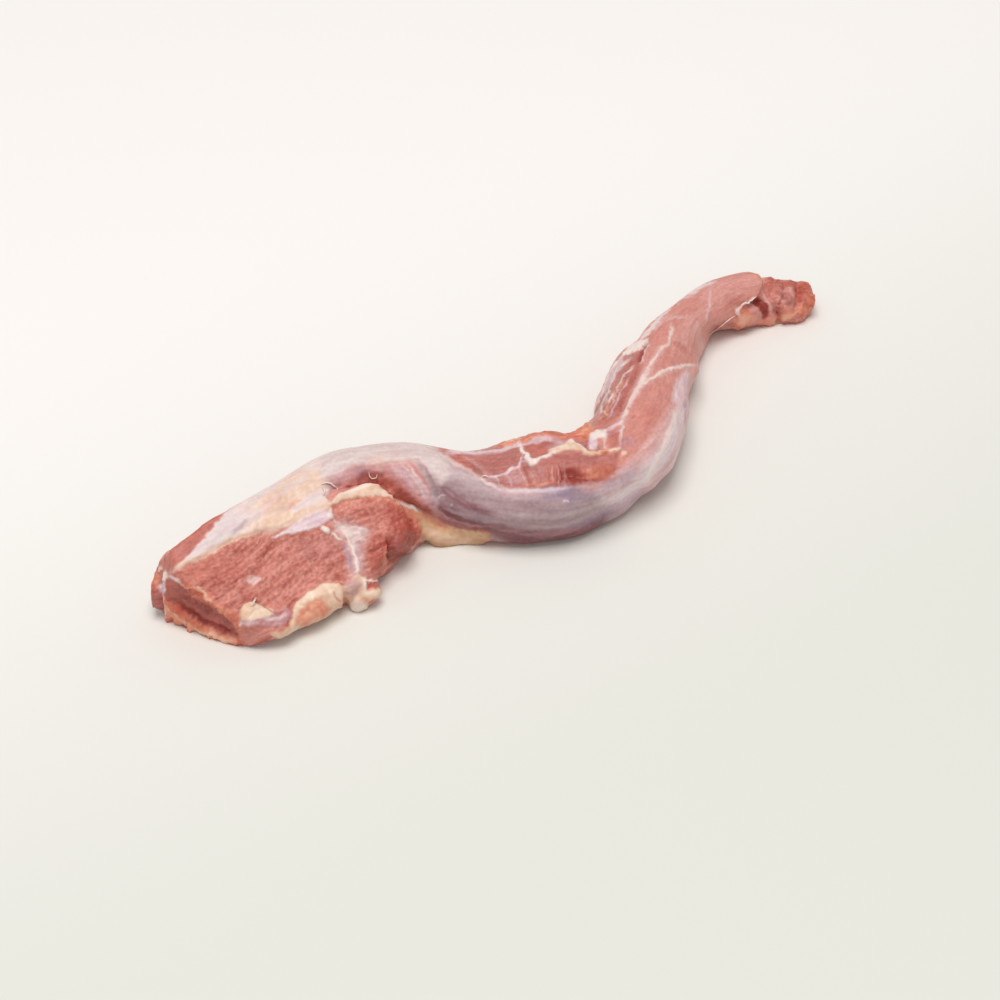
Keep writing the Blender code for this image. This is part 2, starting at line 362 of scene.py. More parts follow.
HEAD_PAINT = (
    Patch("cut", CUT_TOP, 3, 1),
    Patch("red", [(150, 577), (165, 556), (180, 541), (198, 526), (215, 512), (232, 500), (262, 484),
        (258, 491), (243, 499), (229, 509), (214, 524), (201, 540), (191, 553), (182, 563), (168, 574)],
        1.5, 0.6),
    Patch("milk", BACK_BAND, 1.5, 0.95, 0.25),
    Patch("peach", [(238, 508), (262, 494), (285, 478), (305, 466), (322, 456), (332, 468), (326, 484),
        (322, 498), (308, 512), (296, 522), (282, 528), (266, 531), (250, 533), (240, 534), (252, 522),
        (262, 512)], 9, 0.85),
    Stroke("peach", [(172, 572), (184, 563.5), (205, 554), (222, 544), (240, 536), (254, 532)], 2.6, 0.9),
    Stroke("milk", [(196, 553), (212, 536), (230, 518), (250, 503), (276, 487)], 3, 0.7),
    Stroke("milk", [(262, 513), (276, 498), (292, 486), (308, 476)], 2.5, 0.6),
    Stroke("milk", [(304, 470), (318, 461), (334, 452), (358, 451)], 8, 0.6),
    Stroke("violet", [(232, 534), (240, 527), (248, 520)], 1.8, 0.4),
    Stroke("violet", [(274, 512), (284, 508), (292, 504)], 1.5, 0.15),
    Stroke("torn", [(286, 512), (293, 506), (299, 499)], 3, 0.4),
    Stroke("torn", [(262, 512), (272, 503), (284, 495)], 4, 0.16),
    Patch("milk", [(290, 511), (300, 501), (311, 494), (322, 488), (323, 495), (318, 503), (306, 509),
        (296, 514)], 2, 0.8, 0.2),
    Patch("peach", [(262, 524), (276, 518), (292, 513), (308, 508), (322, 502), (331, 501), (329, 509),
        (316, 513), (304, 518), (292, 524), (278, 529), (264, 529)], 2, 0.8, 0.2),
    Patch("lilac", [(271, 538), (282, 532), (293, 525), (302, 519), (311, 514), (322, 511), (331, 512),
        (331, 520), (324, 525), (317, 528), (308, 531), (296, 533), (284, 535.5)], 1, 0.9, 0.3),
    Stroke("milk", [(272, 537), (284, 533.5), (298, 530.5), (312, 527.5), (320, 525)], 1.3, 0.8, 0.2),
    Stroke("torn", [(296, 535), (306, 533.5), (315, 530.5), (323, 526.5), (334, 527)], 1.3, 0.55),
    Patch("white", [(320, 528), (325, 527), (330, 531), (328, 534.5), (322, 532)], 1, 1, 0.7),
    Patch("white", [(330, 508), (333, 514), (331, 520), (327, 515)], 1.2, 0.7, 0.2),
    # The ridge where the fillet bends: pearly silverskin above, thinning to red meat in the crease, with
    # painted shade in deep red and plum along the crease, and painted highlights along the silverskin's
    # folds.
    Patch("pearl", [(322, 456), (332, 447), (350, 441), (380, 438), (410, 439), (428, 443), (440, 452),
        (448, 464), (448, 476), (441, 484), (434, 477), (422, 464), (404, 462), (384, 463), (366, 464),
        (350, 467), (336, 474), (326, 482), (320, 472)], 5, 0.95),
    Patch("mauve", [(324, 482), (335, 474), (350, 467), (364, 465), (382, 463), (400, 467), (415, 477),
        (426, 490), (434, 503), (440, 516), (428, 514), (413, 503), (398, 489), (384, 478), (370, 474),
        (354, 478), (342, 486), (332, 489)], 4, 0.75),
    Patch("violet", [(352, 472), (358, 467), (366, 467), (368, 472), (360, 477)], 2.5, 0.35),
    Stroke("red", [(346, 483), (356, 478), (368, 475), (380, 478), (394, 487), (408, 498), (424, 510),
        (438, 520)], 5, 0.7),
    Patch("red", [(384, 470), (394, 474), (404, 484), (412, 496), (420, 506), (408, 500), (396, 488),
        (386, 479)], 4, 0.4),
    Patch("lilac", [(392, 465), (403, 467), (413, 476), (421, 486), (426, 496), (418, 492), (406, 480),
        (395, 472)], 3, 0.5),
    # Painted shade: deep red along the crease.
    Stroke("deep", [(360, 479), (372, 478), (383, 482), (393, 492), (403, 501), (414, 508.5), (424, 514)],
        2.4, 0.7),
    Stroke("mauve", [(326, 484), (340, 477), (352, 472), (364, 470)], 5, 0.6),
    # Painted shade: a darker line of it at the crease's bottom.
    Stroke("deep", [(340, 488), (352, 483), (364, 480), (375, 479.5), (384, 483), (392, 490.5),
        (401, 499), (411, 507), (420, 512.5)], 1.5, 1.0),
    Stroke("mauve", [(400, 466), (411, 478), (419, 490), (426, 502)], 2.0, 0.5),
    # Partly the silverskin's own pale tone, partly painted highlights: pale lines along its folds.
    Stroke("lilac", [(406, 463), (416, 475), (424, 487), (430, 499)], 1.6, 0.6),
    Stroke("pearl", [(400, 463), (411, 474), (420, 486), (427, 500)], 1.2, 0.6),
    Stroke("pearl", [(413, 460), (423, 471), (430, 482), (434, 495), (437, 506)], 2.4, 0.45),
    # Painted shade: plum in the crease beside them.
    Stroke("plum_shade", [(418, 461), (427, 473), (433, 485), (436, 496)], 2.4, 0.45),
    Stroke("silver", [(416, 462), (424, 473), (430, 486), (436, 500)], 3.5, 0.65),
    Patch("peach", [(370, 460), (378, 455), (386, 458), (384, 463), (374, 464)], 3, 0.4),
    Stroke("red", [(388, 489), (400, 499), (412, 507)], 3, 0.5),
    Stroke("dusk", [(298, 549), (318, 545), (340, 548)], 13, 0.4),
    Stroke("torn", [(391, 493), (400, 500), (410, 507)], 1.4, 0.4),
    # The cream seam and the red face below it, with painted shade in deep red in its creases and hollow.
    Patch("peach", [(330, 504), (338, 495), (350, 489), (364, 484), (376, 481.5), (384, 484), (391, 491),
        (394, 497), (380, 496), (365, 497), (350, 498.5), (338, 502)], 1.2, 1, 0.7),
    Stroke("white", [(340, 496), (352, 491), (366, 486.5), (377, 485), (384, 489)], 1.6, 0.7),
    Stroke("white", [(390, 494), (397, 499), (404, 505), (414, 511), (422, 515)], 1.6, 0.9, 0.5),
    Stroke("torn", [(384, 484), (390, 490), (396, 498), (402, 503)], 1.8, 0.8),
    Patch("red", [(390, 501), (406, 510), (418, 522), (419, 535), (406, 541), (394, 535), (386, 518)], 5,
        1),
    # Painted shade: deep red in the hollow of the face.
    Patch("deep", [(398, 510), (408, 516), (416, 526), (414, 534), (402, 532), (396, 522)], 6, 0.35),
    Stroke("torn", [(342, 502), (364, 499.5), (385, 500), (398, 505), (408, 513), (416, 523), (417, 534)],
        2, 0.6, 0.2),
    Patch("brown", [(391, 541), (398, 534), (409, 531), (417, 534), (414, 545), (404, 557), (393, 563),
        (389, 553)], 2, 0.85),
    # Painted shade: deep red under the brown edge.
    Patch("deep", [(391, 543), (400, 537), (411, 536), (410, 546), (400, 557), (391, 560)], 4, 0.3),
    Patch("red", [(368, 536), (378, 532), (388, 538), (389, 548), (384, 562), (374, 572), (367, 562),
        (368, 548)], 3, 0.5),
    Stroke("torn", [(389, 544), (387, 556), (384, 570), (381, 582)], 1.8, 0.6),
    # Painted shade: deep red along the creases.
    Stroke("deep", [(389, 538), (390, 550), (390, 563)], 2.0, 0.95),
    Stroke("deep", [(387, 541), (378, 548), (370, 552)], 1.0, 0.5),
    # The lilac film between the two faces, with its white thread.
    Patch("rose", [(330, 524), (340, 519), (352, 520), (364, 525), (371, 532), (368, 542), (363, 550),
        (367, 562), (365, 576), (353, 579), (347, 570), (346, 556), (342, 546), (335, 538)], 6, 0.5),
    Patch("milk", [(335, 526), (345, 524), (355, 526), (364, 528), (369, 532), (362, 535), (365, 541),
        (357, 541), (355, 549), (349, 544), (345, 537), (338, 533)], 3, 0.6, 0.1),
    Patch("lilac", [(346, 545), (357, 542), (364, 549), (363, 562), (361, 573), (354, 576), (350, 564)],
        4, 0.35),
    Stroke("violet", [(343, 545), (348, 556), (351, 569)], 2.2, 0.45),
    Patch("white", [(342, 530), (348, 529), (352, 530), (353, 534), (349, 539), (345, 535)], 1.6, 0.6,
        0.3),
    Stroke("white", [(344, 534), (348, 541), (353, 549), (355.5, 558), (357, 567), (357.5, 576)], 1.4,
        0.8, 0.25),
    Stroke("white", [(338, 527), (347, 528), (357, 527), (366, 529)], 1.1, 0.6, 0.1),
    Stroke("milk", [(348, 536), (356, 533), (363, 534)], 1.4, 0.5),
    Stroke("milk", [(340, 524), (334, 520), (331, 514)], 1.4, 0.45),
    Stroke("white", [(333, 533), (338, 538), (342, 541)], 1.4, 0.8, 0.3),
    # The small flap of fat and film at the near edge of the cut.
    Patch("mauve", [(247, 625), (254, 614), (264, 609), (276, 612), (290, 608), (293, 613), (288, 621),
        (279, 627), (266, 627)], 1.0, 0.95, 0.4),
    Patch("fat", [(239, 617), (241, 609), (249, 603), (257, 603), (265, 607), (275, 612), (270, 617),
        (260, 620), (250, 622), (243, 621)], 1.2, 1, 0.6),
    Stroke("milk", [(262, 618), (274, 620), (285, 614)], 2.2, 0.6),
    Stroke("brown", [(258, 603), (266, 608), (276, 613.5), (286, 610)], 1.0, 0.7),
    Stroke("white", [(239, 622), (241, 626)], 1.5, 0.9, 0.4),
    Stroke("lilac", [(238, 619), (244, 622), (251, 625)], 2.5, 0.6),
    Patch("lean", [(237, 641), (242, 634), (252, 629), (266, 629), (277, 628), (272, 636), (258, 641),
        (244, 645)], 2, 0.6),
    Patch("red", [(184, 570), (200, 562), (222, 556), (240, 562), (236, 578), (214, 590), (194, 584)], 8,
        0.4),
    Patch("milk", [(246, 581), (250, 577), (257, 576), (260, 579), (254, 583), (250, 584)], 2.5, 0.55),
    Stroke("white", [(252, 585), (258, 581.5), (263, 577.5)], 0.8, 0.7),
    # The fat rim: lobules of cream and pink fat, redder where the meat shows between them.
    Patch("fat", [(271, 637), (276, 632), (286, 628), (291, 620), (293, 611), (296, 603), (304, 597),
        (308, 592), (317, 588), (323, 584), (336, 584), (347, 586), (352, 578), (358, 576), (366, 578),
        (366, 590), (380, 589), (378, 597), (368, 600), (366, 610), (356, 616), (346, 610), (340, 606),
        (330, 615), (316, 624), (300, 634), (284, 638)], 1.5, 1, 0.5),
    Patch("torn", [(296, 622), (301, 610), (310, 601), (320, 598), (327, 602), (327, 611), (316, 619),
        (303, 626)], 3, 0.75),
    Patch("torn", [(335, 600), (342, 597), (349, 599), (350, 607), (345, 610), (338, 606)], 2, 0.7),
    Patch("peach", [(316, 598), (318, 589), (326, 585), (337, 585), (343, 590), (340, 600), (330, 606),
        (322, 603)], 3, 0.7),
    Stroke("red", [(332, 592), (334, 597), (338, 599)], 1.0, 0.5),
    Patch("rose", [(344, 585), (350, 580), (357, 579), (361, 585), (356, 592), (350, 597), (344, 596)],
        2.5, 0.6),
    Patch("mauve", [(347, 580), (358, 578), (362, 588), (353, 594), (346, 590)], 3, 0.35),
    Patch("peach", [(348, 603), (355, 597), (365, 599), (367, 607), (359, 614), (350, 611)], 2, 1, 0.3),
    # Partly the fat's own cream white, partly painted light: a white dab lifts the shade on the
    # down-facing fat ball.
    Stroke("white", [(350, 604), (357, 601), (364, 604)], 5, 0.85),
    Stroke("torn", [(362, 598), (370, 599), (376, 595)], 2.5, 0.4),
    Stroke("white", [(363, 579), (372, 580.5), (385, 580)], 1.0, 0.8, 0.2),
    Stroke("red", [(366, 586), (374, 585.5), (382, 584.5)], 2.2, 0.8),
    Stroke("white", [(364, 578), (364, 585), (366, 591)], 1.2, 0.7, 0.2),
    Stroke("brown", [(291, 612), (292, 605), (298, 599)], 1.2, 0.7),
    # The end face, cut across the fibres: brown, with painted shade in deep red darkening its hollow
    # above the rim, ragged and orange round its rim.
    Patch("torn", [(163, 598), (170, 601), (180, 607), (190, 616), (204, 626), (222, 635), (240, 639),
        (243, 648), (222, 646), (205, 640), (189, 636), (175, 628), (165, 619)], 1.2, 1, 0.3),
    Patch("torn", [(184, 583), (196, 586), (208, 592), (216, 601), (226, 608), (236, 616), (240, 624),
        (240, 640), (232, 628), (220, 616), (206, 608), (194, 600), (186, 592)], 2.5, 0.7, 0.4),
    Patch("brown", END_FACE, 1.4, 1),
    Patch("red", [(167, 583), (175, 584), (182, 590), (186, 598), (178, 600), (168, 597)], 3, 0.35),
    # Painted shade: deep red in the hollow.
    Stroke("deep", [(174, 603), (184, 611), (194, 618), (206, 624.5), (220, 631), (234, 636)], 2.2, 0.85),
    Stroke("deep", [(177, 594), (188, 604), (200, 611), (212, 618)], 3.0, 0.3),
    Stroke("deep", [(199, 604), (206, 608), (213, 613)], 2.0, 0.55),
    Stroke("red", [(166, 603), (178, 611), (188, 619), (202, 627)], 1.4, 0.5),
    Stroke("peach", [(165, 606), (172, 612), (181, 619), (190, 626)], 1.0, 0.5),
    Stroke("peach", [(194, 629), (204, 631.5), (214, 634), (222, 638), (236, 641)], 1.4, 0.7, 0.3),
    Stroke("red", [(187, 620), (188, 627), (189, 634)], 1.0, 0.6),
    Stroke("peach", [(204, 595), (209, 599), (215, 602)], 1.2, 0.6, 0.2),
    Stroke("peach", [(196, 588), (203, 591), (207, 596)], 1.4, 0.6, 0.2),
    Stroke("red", [(190, 587), (192, 593), (191, 598)], 1.6, 0.9),
    Stroke("red", [(196, 603), (202, 598), (210, 606)], 1.6, 0.5),
    Stroke("peach", [(168, 576), (178, 580), (185, 586), (196, 587.5), (206, 587)], 0.9, 0.5, 0.2),
    Stroke("torn", [(222, 611), (230, 616), (238, 620)], 1.8, 0.6),
    Patch("dusk", [(154, 578), (160, 592), (163, 606), (165, 618), (158, 615), (150, 604), (147, 592)], 2,
        0.9),
    Patch("brown", [(157, 596), (161, 603), (163, 614), (157, 608), (154, 600)], 2, 0.5),
    Patch("torn", [(143, 598), (144, 586), (149, 577), (155, 572), (157, 580), (152, 588), (149, 598),
        (154, 606), (148, 606)], 1.5, 0.85),
    Patch("red", [(152, 584), (156, 584), (157, 591), (153, 592)], 1.5, 0.8),
    Patch("lilac", [(157, 582), (162, 581), (165, 586), (163, 594), (160, 594), (157, 588)], 1.2, 0.9),
    Stroke("milk", [(160, 592), (162.5, 600), (164, 610), (166, 618)], 1.3, 0.75, 0.3),
    Stroke("white", [(166, 571), (165.5, 576), (164, 581)], 2.0, 1, 0.5),
    Stroke("white", [(157, 572), (161, 567)], 1.5, 0.8, 0.3),
    Stroke("milk", [(168, 575), (174, 578), (180, 580)], 1.4, 0.6),
)
HEAD_FOLDS = (
    Fold([(343, 486), (357, 480), (368, 477), (379, 479.5), (391, 488), (401, 498), (411, 507),
        (424, 515), (438, 521)], 5, 2.2),
    Fold([(157, 576), (159, 590), (161, 606), (163, 620)], 2.5, 1.6),
    Fold([(181, 624), (185, 628), (186, 632)], 2.5, 0.8),
    Fold([(194, 630), (193, 634), (194, 638)], 2.5, 0.8),
    Fold([(170, 618), (172, 622), (172, 628)], 2.5, 0.8),
    Fold([(389, 535), (391, 546), (391, 562)], 3, 1.4),
    Fold([(174, 572), (195, 561), (221, 546), (247, 535), (270, 529)], 2.5, 0.5),
    Fold([(174, 592), (196, 608), (220, 622), (236, 633)], 7, 1.3),
    Fold([(172, 602), (190, 616), (212, 628), (234, 637)], 3.5, 1.3),
    Fold([(186, 586), (198, 596), (216, 605), (230, 616)], 2.5, -0.7),
    Fold([(165, 602), (180, 613), (196, 624), (216, 634), (236, 642)], 3, -0.6),
    Fold([(296, 610), (300, 620), (296, 630)], 3, 0.6),
    Fold([(291, 614), (292, 604), (300, 598)], 2, 0.8),
    Fold([(343, 590), (345, 600), (343, 610)], 3, 1.2),
    Fold([(388, 541), (380, 548), (372, 552), (364, 551)], 3, 0.5),
    Fold([(232, 538), (242, 530), (250, 526)], 3, 0.3),
    Fold([(257, 603), (266, 608.5), (277, 614), (288, 611)], 1.5, 0.7),
    Fold([(194, 571), (220, 568), (238, 556), (254, 545), (266, 530)], 1.6, 0.5),
    Fold([(195, 580), (215, 578), (234, 569), (243, 565)], 1.6, 0.4),
    Fold([(240, 572), (262, 556), (290, 539)], 1.4, 0.3),
    Fold([(345, 484), (330, 488)], 3, 0.6),
)
HEAD_LUMPS = (
    Lump(152, 596, 20, 8, 70, 1.2),
    Lump(306, 603, 9, 7, -20, 1.0),
    Lump(320, 595, 8, 6, -20, 1.0),
    Lump(333, 592, 8, 6, -10, 0.9),
    Lump(318, 612, 12, 8, -25, 0.9),
    Lump(338, 602, 7, 6, 0, 0.7),
    Lump(284, 628, 9, 6, -20, 0.8),
    Lump(357, 604, 8, 8, 0, 1.1),
    Lump(372, 593, 7, 5, -20, 0.7),
    Lump(353, 584, 6, 4, 0, 0.5),
    Lump(250, 612, 8, 6, -10, 0.6),
    Lump(345, 493, 10, 4, -20, 0.4),
    Lump(373, 487, 10, 4, 0, 0.4),
    Lump(403, 546, 12, 9, -45, 0.8),
)

SILVER_SHEET = [
    (425, 446), (440, 454), (461, 466), (482, 479), (502, 487), (520, 488), (545, 487), (560, 485),
    (575, 483), (598, 481), (616, 474), (632, 462), (646, 446), (660, 428), (672, 412), (690, 400),
    (700, 430), (690, 460), (660, 500), (620, 520), (590, 536), (550, 552), (515, 552), (495, 540),
    (470, 531), (445, 523), (432, 516), (428, 505), (430, 490), (426, 470), (420, 455),
]
MIDDLE_PAINT = (
    Patch("silver", SILVER_SHEET, 2, 0.95, 0.2),
    Patch("pearl", [(424, 444), (440, 453), (461, 466), (482, 480), (500, 488), (492, 493), (474, 488),
        (458, 480), (446, 474), (436, 464), (426, 456)], 5, 0.3),
    Patch("lilac", [(484, 480), (502, 487), (545, 487), (570, 484), (560, 494), (530, 500), (506, 498),
        (490, 490)], 4, 0.55),
    Stroke("violet", [(536, 496), (556, 494), (580, 494), (598, 490)], 6, 0.45),
    Stroke("violet", [(560, 487), (566, 497), (574, 506)], 6, 0.5),
    Stroke("violet", [(540, 487), (556, 486), (576, 487)], 3, 0.4),
    Stroke("mauve", [(484, 483), (500, 491), (520, 494), (545, 494)], 2.5, 0.4),
    Stroke("milk", [(500, 489.5), (520, 490.5), (545, 489.5), (570, 487.5)], 1.4, 0.35),
    # Painted shade, over the silverskin's own purplish tint: plum darkens its underside where it turns
    # down from the light.
    Patch("plum_shade", [(434, 506), (446, 504), (462, 512), (480, 519), (500, 524), (520, 528), (556, 529),
        (590, 520), (606, 516), (596, 534), (560, 548), (520, 548), (495, 538), (470, 530), (445, 522)],
        5, 0.9),
    # Painted shade: plum darkening the silverskin below the ridge.
    Patch("plum_shade", [(440, 484), (452, 490), (466, 498), (482, 506), (490, 514), (474, 512), (456, 504),
        (442, 496)], 6, 0.55),
    Patch("lilac", [(600, 482), (618, 474), (634, 462), (648, 446), (662, 430), (674, 412), (690, 404),
        (700, 430), (690, 460), (660, 494), (640, 504), (620, 508), (600, 500)], 9, 1),
    Stroke("milk", [(612, 500), (636, 486), (656, 464), (668, 440)], 3, 0.4),
    Patch("veil", [(596, 480), (614, 474), (628, 463), (642, 448), (652, 434), (664, 424), (660, 440),
        (646, 458), (630, 474), (612, 486), (590, 492), (580, 486)], 5, 0.6),
    Stroke("violet", [(598, 489), (612, 483), (628, 474), (640, 462)], 4, 0.35),
    Stroke("milk", [(640, 482), (654, 466), (666, 446)], 8, 0.4),
    Stroke("mauve", [(602, 496), (618, 488), (634, 477)], 3, 0.35),
    Stroke("veil", [(689, 410), (684, 436), (672, 460), (656, 482), (636, 500)], 6, 0.4),
    Stroke("lean", [(660, 408), (668, 420), (660, 436), (650, 452)], 5, 0.25),
    Stroke("white", [(679, 402), (676, 412), (671, 426), (664.5, 443), (654, 463), (645, 482)], 2.6, 0.75,
        0.2),
    # Painted shade: plum along the lower edge.
    Stroke("plum_shade", [(507, 539), (524, 542), (548, 541), (568, 537), (584, 531)], 3, 0.8),
    Stroke("milk", [(500, 512), (530, 516), (560, 515), (590, 507), (614, 494)], 2.5, 0.25),
    Stroke("milk", [(618, 478), (619, 490), (622, 500)], 2.0, 0.3),
    # Painted shade: plum streaks on the lower silverskin.
    Stroke("plum_shade", [(494, 498), (520, 502), (546, 502)], 5, 0.18),
    Stroke("plum_shade", [(447, 499), (462, 505), (480, 511), (500, 517)], 3, 0.35),
    Stroke("silver", [(442, 506), (456, 512), (471, 517), (488, 521), (510, 524)], 1.6, 0.7, 0.1),
    Stroke("mauve", [(436, 510), (446, 518), (458, 522), (472, 526), (486, 528)], 1.4, 0.7, 0.1),
    # Painted shade: plum below the ridge's crease.
    Stroke("plum_shade", [(436, 478), (446, 490), (460, 501), (480, 510)], 3.5, 0.5),
    Stroke("silver", [(440, 484), (452, 495), (468, 504)], 1.2, 0.4),
    Stroke("mauve", [(480, 524), (510, 532), (550, 534), (590, 525)], 2.0, 0.35),
    Stroke("violet", [(560, 528), (590, 520), (620, 506), (650, 488)], 4.0, 0.35),
    Stroke("mauve", [(610, 512), (640, 496), (664, 470), (680, 440)], 3.0, 0.25),
    Stroke("red", [(432, 514), (444, 521), (458, 526), (474, 529), (492, 534)], 1.6, 0.5),
    # Painted highlights: small glints on the wet silverskin.
    Stroke("pearl", [(438, 499), (441, 495), (445, 495)], 1.0, 0.7),
    Stroke("pearl", [(450, 505), (453, 504)], 1.0, 0.6),
    Stroke("white", [(562, 502), (566, 500.5), (569, 502)], 1.0, 0.7),
    Patch("flap", [(414, 508), (424, 515), (441, 522), (457, 527), (471, 530), (488, 532), (490, 537),
        (481, 545), (461, 548), (441, 551), (430, 547), (418, 538)], 1.3, 1, 0.4),
    Stroke("torn", [(414, 512), (424, 518), (436, 524), (452, 530)], 2.5, 0.5),
    Stroke("peach", [(424, 530), (440, 537), (458, 540), (476, 538)], 4, 0.45),
    # Red lean showing above the silverskin, with the torn strip along its far edge.
    Patch("dusk", [(440, 450), (462, 452), (500, 447), (524, 441), (560, 440), (588, 440), (606, 452),
        (618, 454), (612, 472), (598, 480), (560, 484), (520, 487), (500, 486), (482, 478), (462, 466),
        (448, 458)], 3, 0.85),
    Stroke("rose", [(438, 450), (456, 460), (472, 468), (484, 476)], 6, 0.75),
    Stroke("red", [(424, 445), (438, 450), (452, 456), (466, 464), (478, 472)], 3.2, 0.8),
    Stroke("lilac", [(448, 450), (460, 452), (471, 455)], 2.4, 0.5),
    Stroke("white", [(428, 450), (441, 456), (455, 463), (469, 471), (482, 480)], 1.8, 0.3, 0.1),
    Stroke("brown", [(538, 459), (560, 460), (584, 458)], 7, 0.5),
    Stroke("lean", [(596, 460), (604, 464), (612, 462)], 6, 0.5),
    Patch("torn", [(496, 447), (508, 440), (518, 434), (530, 429), (548, 427), (562, 430), (568, 434),
        (576, 431), (588, 424), (593, 434), (582, 441), (568, 440), (552, 438), (538, 439), (524, 442),
        (510, 446)], 1.2, 1, 0.4),
    Patch("red", [(542, 430), (552, 428), (566, 433), (562, 438), (548, 436)], 1.5, 0.8),
    Stroke("peach", [(506, 443), (514, 440), (522, 438)], 1.0, 0.7, 0.2),
    Stroke("peach", [(516, 436), (524, 433), (532, 432)], 0.9, 0.4, 0.2),
    Stroke("red", [(514, 440), (522, 438), (530, 436), (542, 436)], 2.2, 0.5),
    Stroke("peach", [(576, 437), (583, 434), (588, 430)], 1.0, 0.6),
    Patch("lilac", [(552, 443), (562, 441), (566, 446), (556, 449), (546, 447)], 2, 0.4),
    Patch("violet", [(570, 441), (578, 441), (583, 445), (576, 446)], 1.5, 0.5),
    Patch("red", [(524, 444), (540, 441), (556, 443), (548, 450), (538, 454), (528, 452)], 3, 0.5),
    Patch("red", [(548, 466), (562, 464), (580, 466), (600, 463), (614, 464), (616, 474), (600, 482),
        (570, 485), (548, 485)], 4, 0.6),
    # Painted shade: deep red in the hollow where the lean dips.
    Patch("deep", [(558, 470), (568, 466), (580, 470), (592, 477), (586, 482), (570, 483), (558, 480)], 3,
        0.75),
    Stroke("deep", [(584, 479), (594, 480), (604, 478)], 1.6, 0.4),
    Patch("torn", [(582, 470), (596, 467), (612, 468), (614, 474), (604, 478), (588, 478)], 3, 0.5),
    Stroke("veil", [(551.5, 465), (553, 475), (553.5, 484)], 1.0, 0.5),
    Stroke("veil", [(557, 465), (559, 475), (559, 486)], 1.0, 0.5),
    Stroke("veil", [(563, 466), (566, 474), (566, 484)], 1.0, 0.35),
    Stroke("lilac", [(507, 474), (510, 480), (511, 486)], 1.0, 0.4),
    Stroke("lilac", [(496, 476), (498, 482), (503, 487)], 1.0, 0.4),
    Stroke("veil", [(530, 472), (534, 479), (535, 486)], 1.0, 0.35),
    # Painted shade: deep red in a small pocket.
    Patch("deep", [(472, 465), (478, 467), (484, 473), (480, 477), (474, 472)], 2, 0.55),
    Stroke("torn", [(521, 487), (530, 484), (545, 484), (556, 482)], 1.8, 0.6),
    Stroke("torn", [(518, 466), (523, 474), (527, 483)], 2.0, 0.4),
    Patch("mauve", [(506, 476), (514, 470), (520, 474), (524, 482), (512, 484)], 2, 0.5),
    Patch("violet", [(486, 478), (494, 478), (498, 482), (490, 483)], 1.5, 0.3),
    # White cords of connective tissue and dabs of fat on the lean.
    Stroke("lilac", [(440, 455), (463, 454), (478, 454.5), (492, 452.5), (502, 450), (510, 446.5),
        (520, 444.5), (528, 443), (541, 439.5), (553, 440), (562, 442)], 1.7, 0.75, 0.2),
    Stroke("milk", [(462, 453), (470, 451), (480, 450)], 1.8, 0.5),
    Stroke("white", [(520, 441), (520.5, 446), (522, 451), (527, 454), (529, 460), (532, 465)], 2, 0.9,
        0.4),
    Patch("white", [(527, 456), (531, 459), (536, 459), (537, 463), (532, 467), (528, 464), (525, 459)],
        1.2, 1, 0.4),
    Stroke("white", [(534, 461), (545, 456), (557, 451.5), (566, 447)], 1.7, 0.85, 0.3),
    Stroke("lilac", [(524, 455), (520, 462), (518, 467), (510, 471), (503, 475.5), (492, 477),
        (485, 476)], 1.4, 0.85, 0.3),
    Stroke("white", [(480, 477), (485, 482), (491, 485), (498, 488.5)], 1.8, 0.5, 0.3),
    Stroke("lilac", [(518, 467), (522, 474), (526, 482)], 1.0, 0.5),
    Stroke("lilac", [(519, 461), (527, 463)], 1.0, 0.5),
    Patch("fat", [(548, 451), (558, 447), (565, 443), (571, 440.5), (577, 443), (584, 449), (592, 452),
        (600, 451), (607, 450), (619, 447), (620, 450), (608, 452.5), (600, 455), (592, 455), (582, 453),
        (570, 450), (560, 452)], 1.2, 0.95, 0.4),
    Stroke("white", [(566, 442), (572, 442), (580, 447.5), (588, 452)], 1.3, 0.8, 0.2),
    Patch("lilac", [(588, 446), (592, 436), (597, 438), (597, 448), (592, 451)], 1.5, 0.9, 0.3),
    Patch("white", [(590, 438), (593, 432), (598, 428), (606, 429), (607, 437), (600, 439), (594, 441)],
        1.2, 0.95, 0.5),
    Patch("peach", [(589, 426), (590, 421), (594, 419), (598, 422), (596, 426), (592, 428)], 1, 1, 0.5),
    Stroke("torn", [(587, 428), (593, 429), (600, 426)], 1.2, 0.8),
    Stroke("lilac", [(606, 431), (613, 427), (620, 423), (625, 419)], 1.8, 0.85, 0.3),
    Stroke("lilac", [(606, 436), (613, 433), (620, 430)], 1.2, 0.6),
    Stroke("milk", [(623, 424), (622, 432), (620.5, 446)], 1.4, 0.75, 0.3),
    Stroke("milk", [(604, 438), (605, 446), (606, 450)], 0.9, 0.6),
    Stroke("torn", [(600, 453.5), (608, 453), (616, 451.5)], 1.0, 0.8),
    Stroke("torn", [(570, 438), (580, 435), (590, 431)], 1.4, 0.6),
    Patch("fat", [(622, 451), (627, 451), (628, 455), (623, 455)], 1, 0.7, 0.3),
    Patch("brown", [(610, 455), (618, 454), (619, 461), (613, 461)], 1.8, 0.5),
)
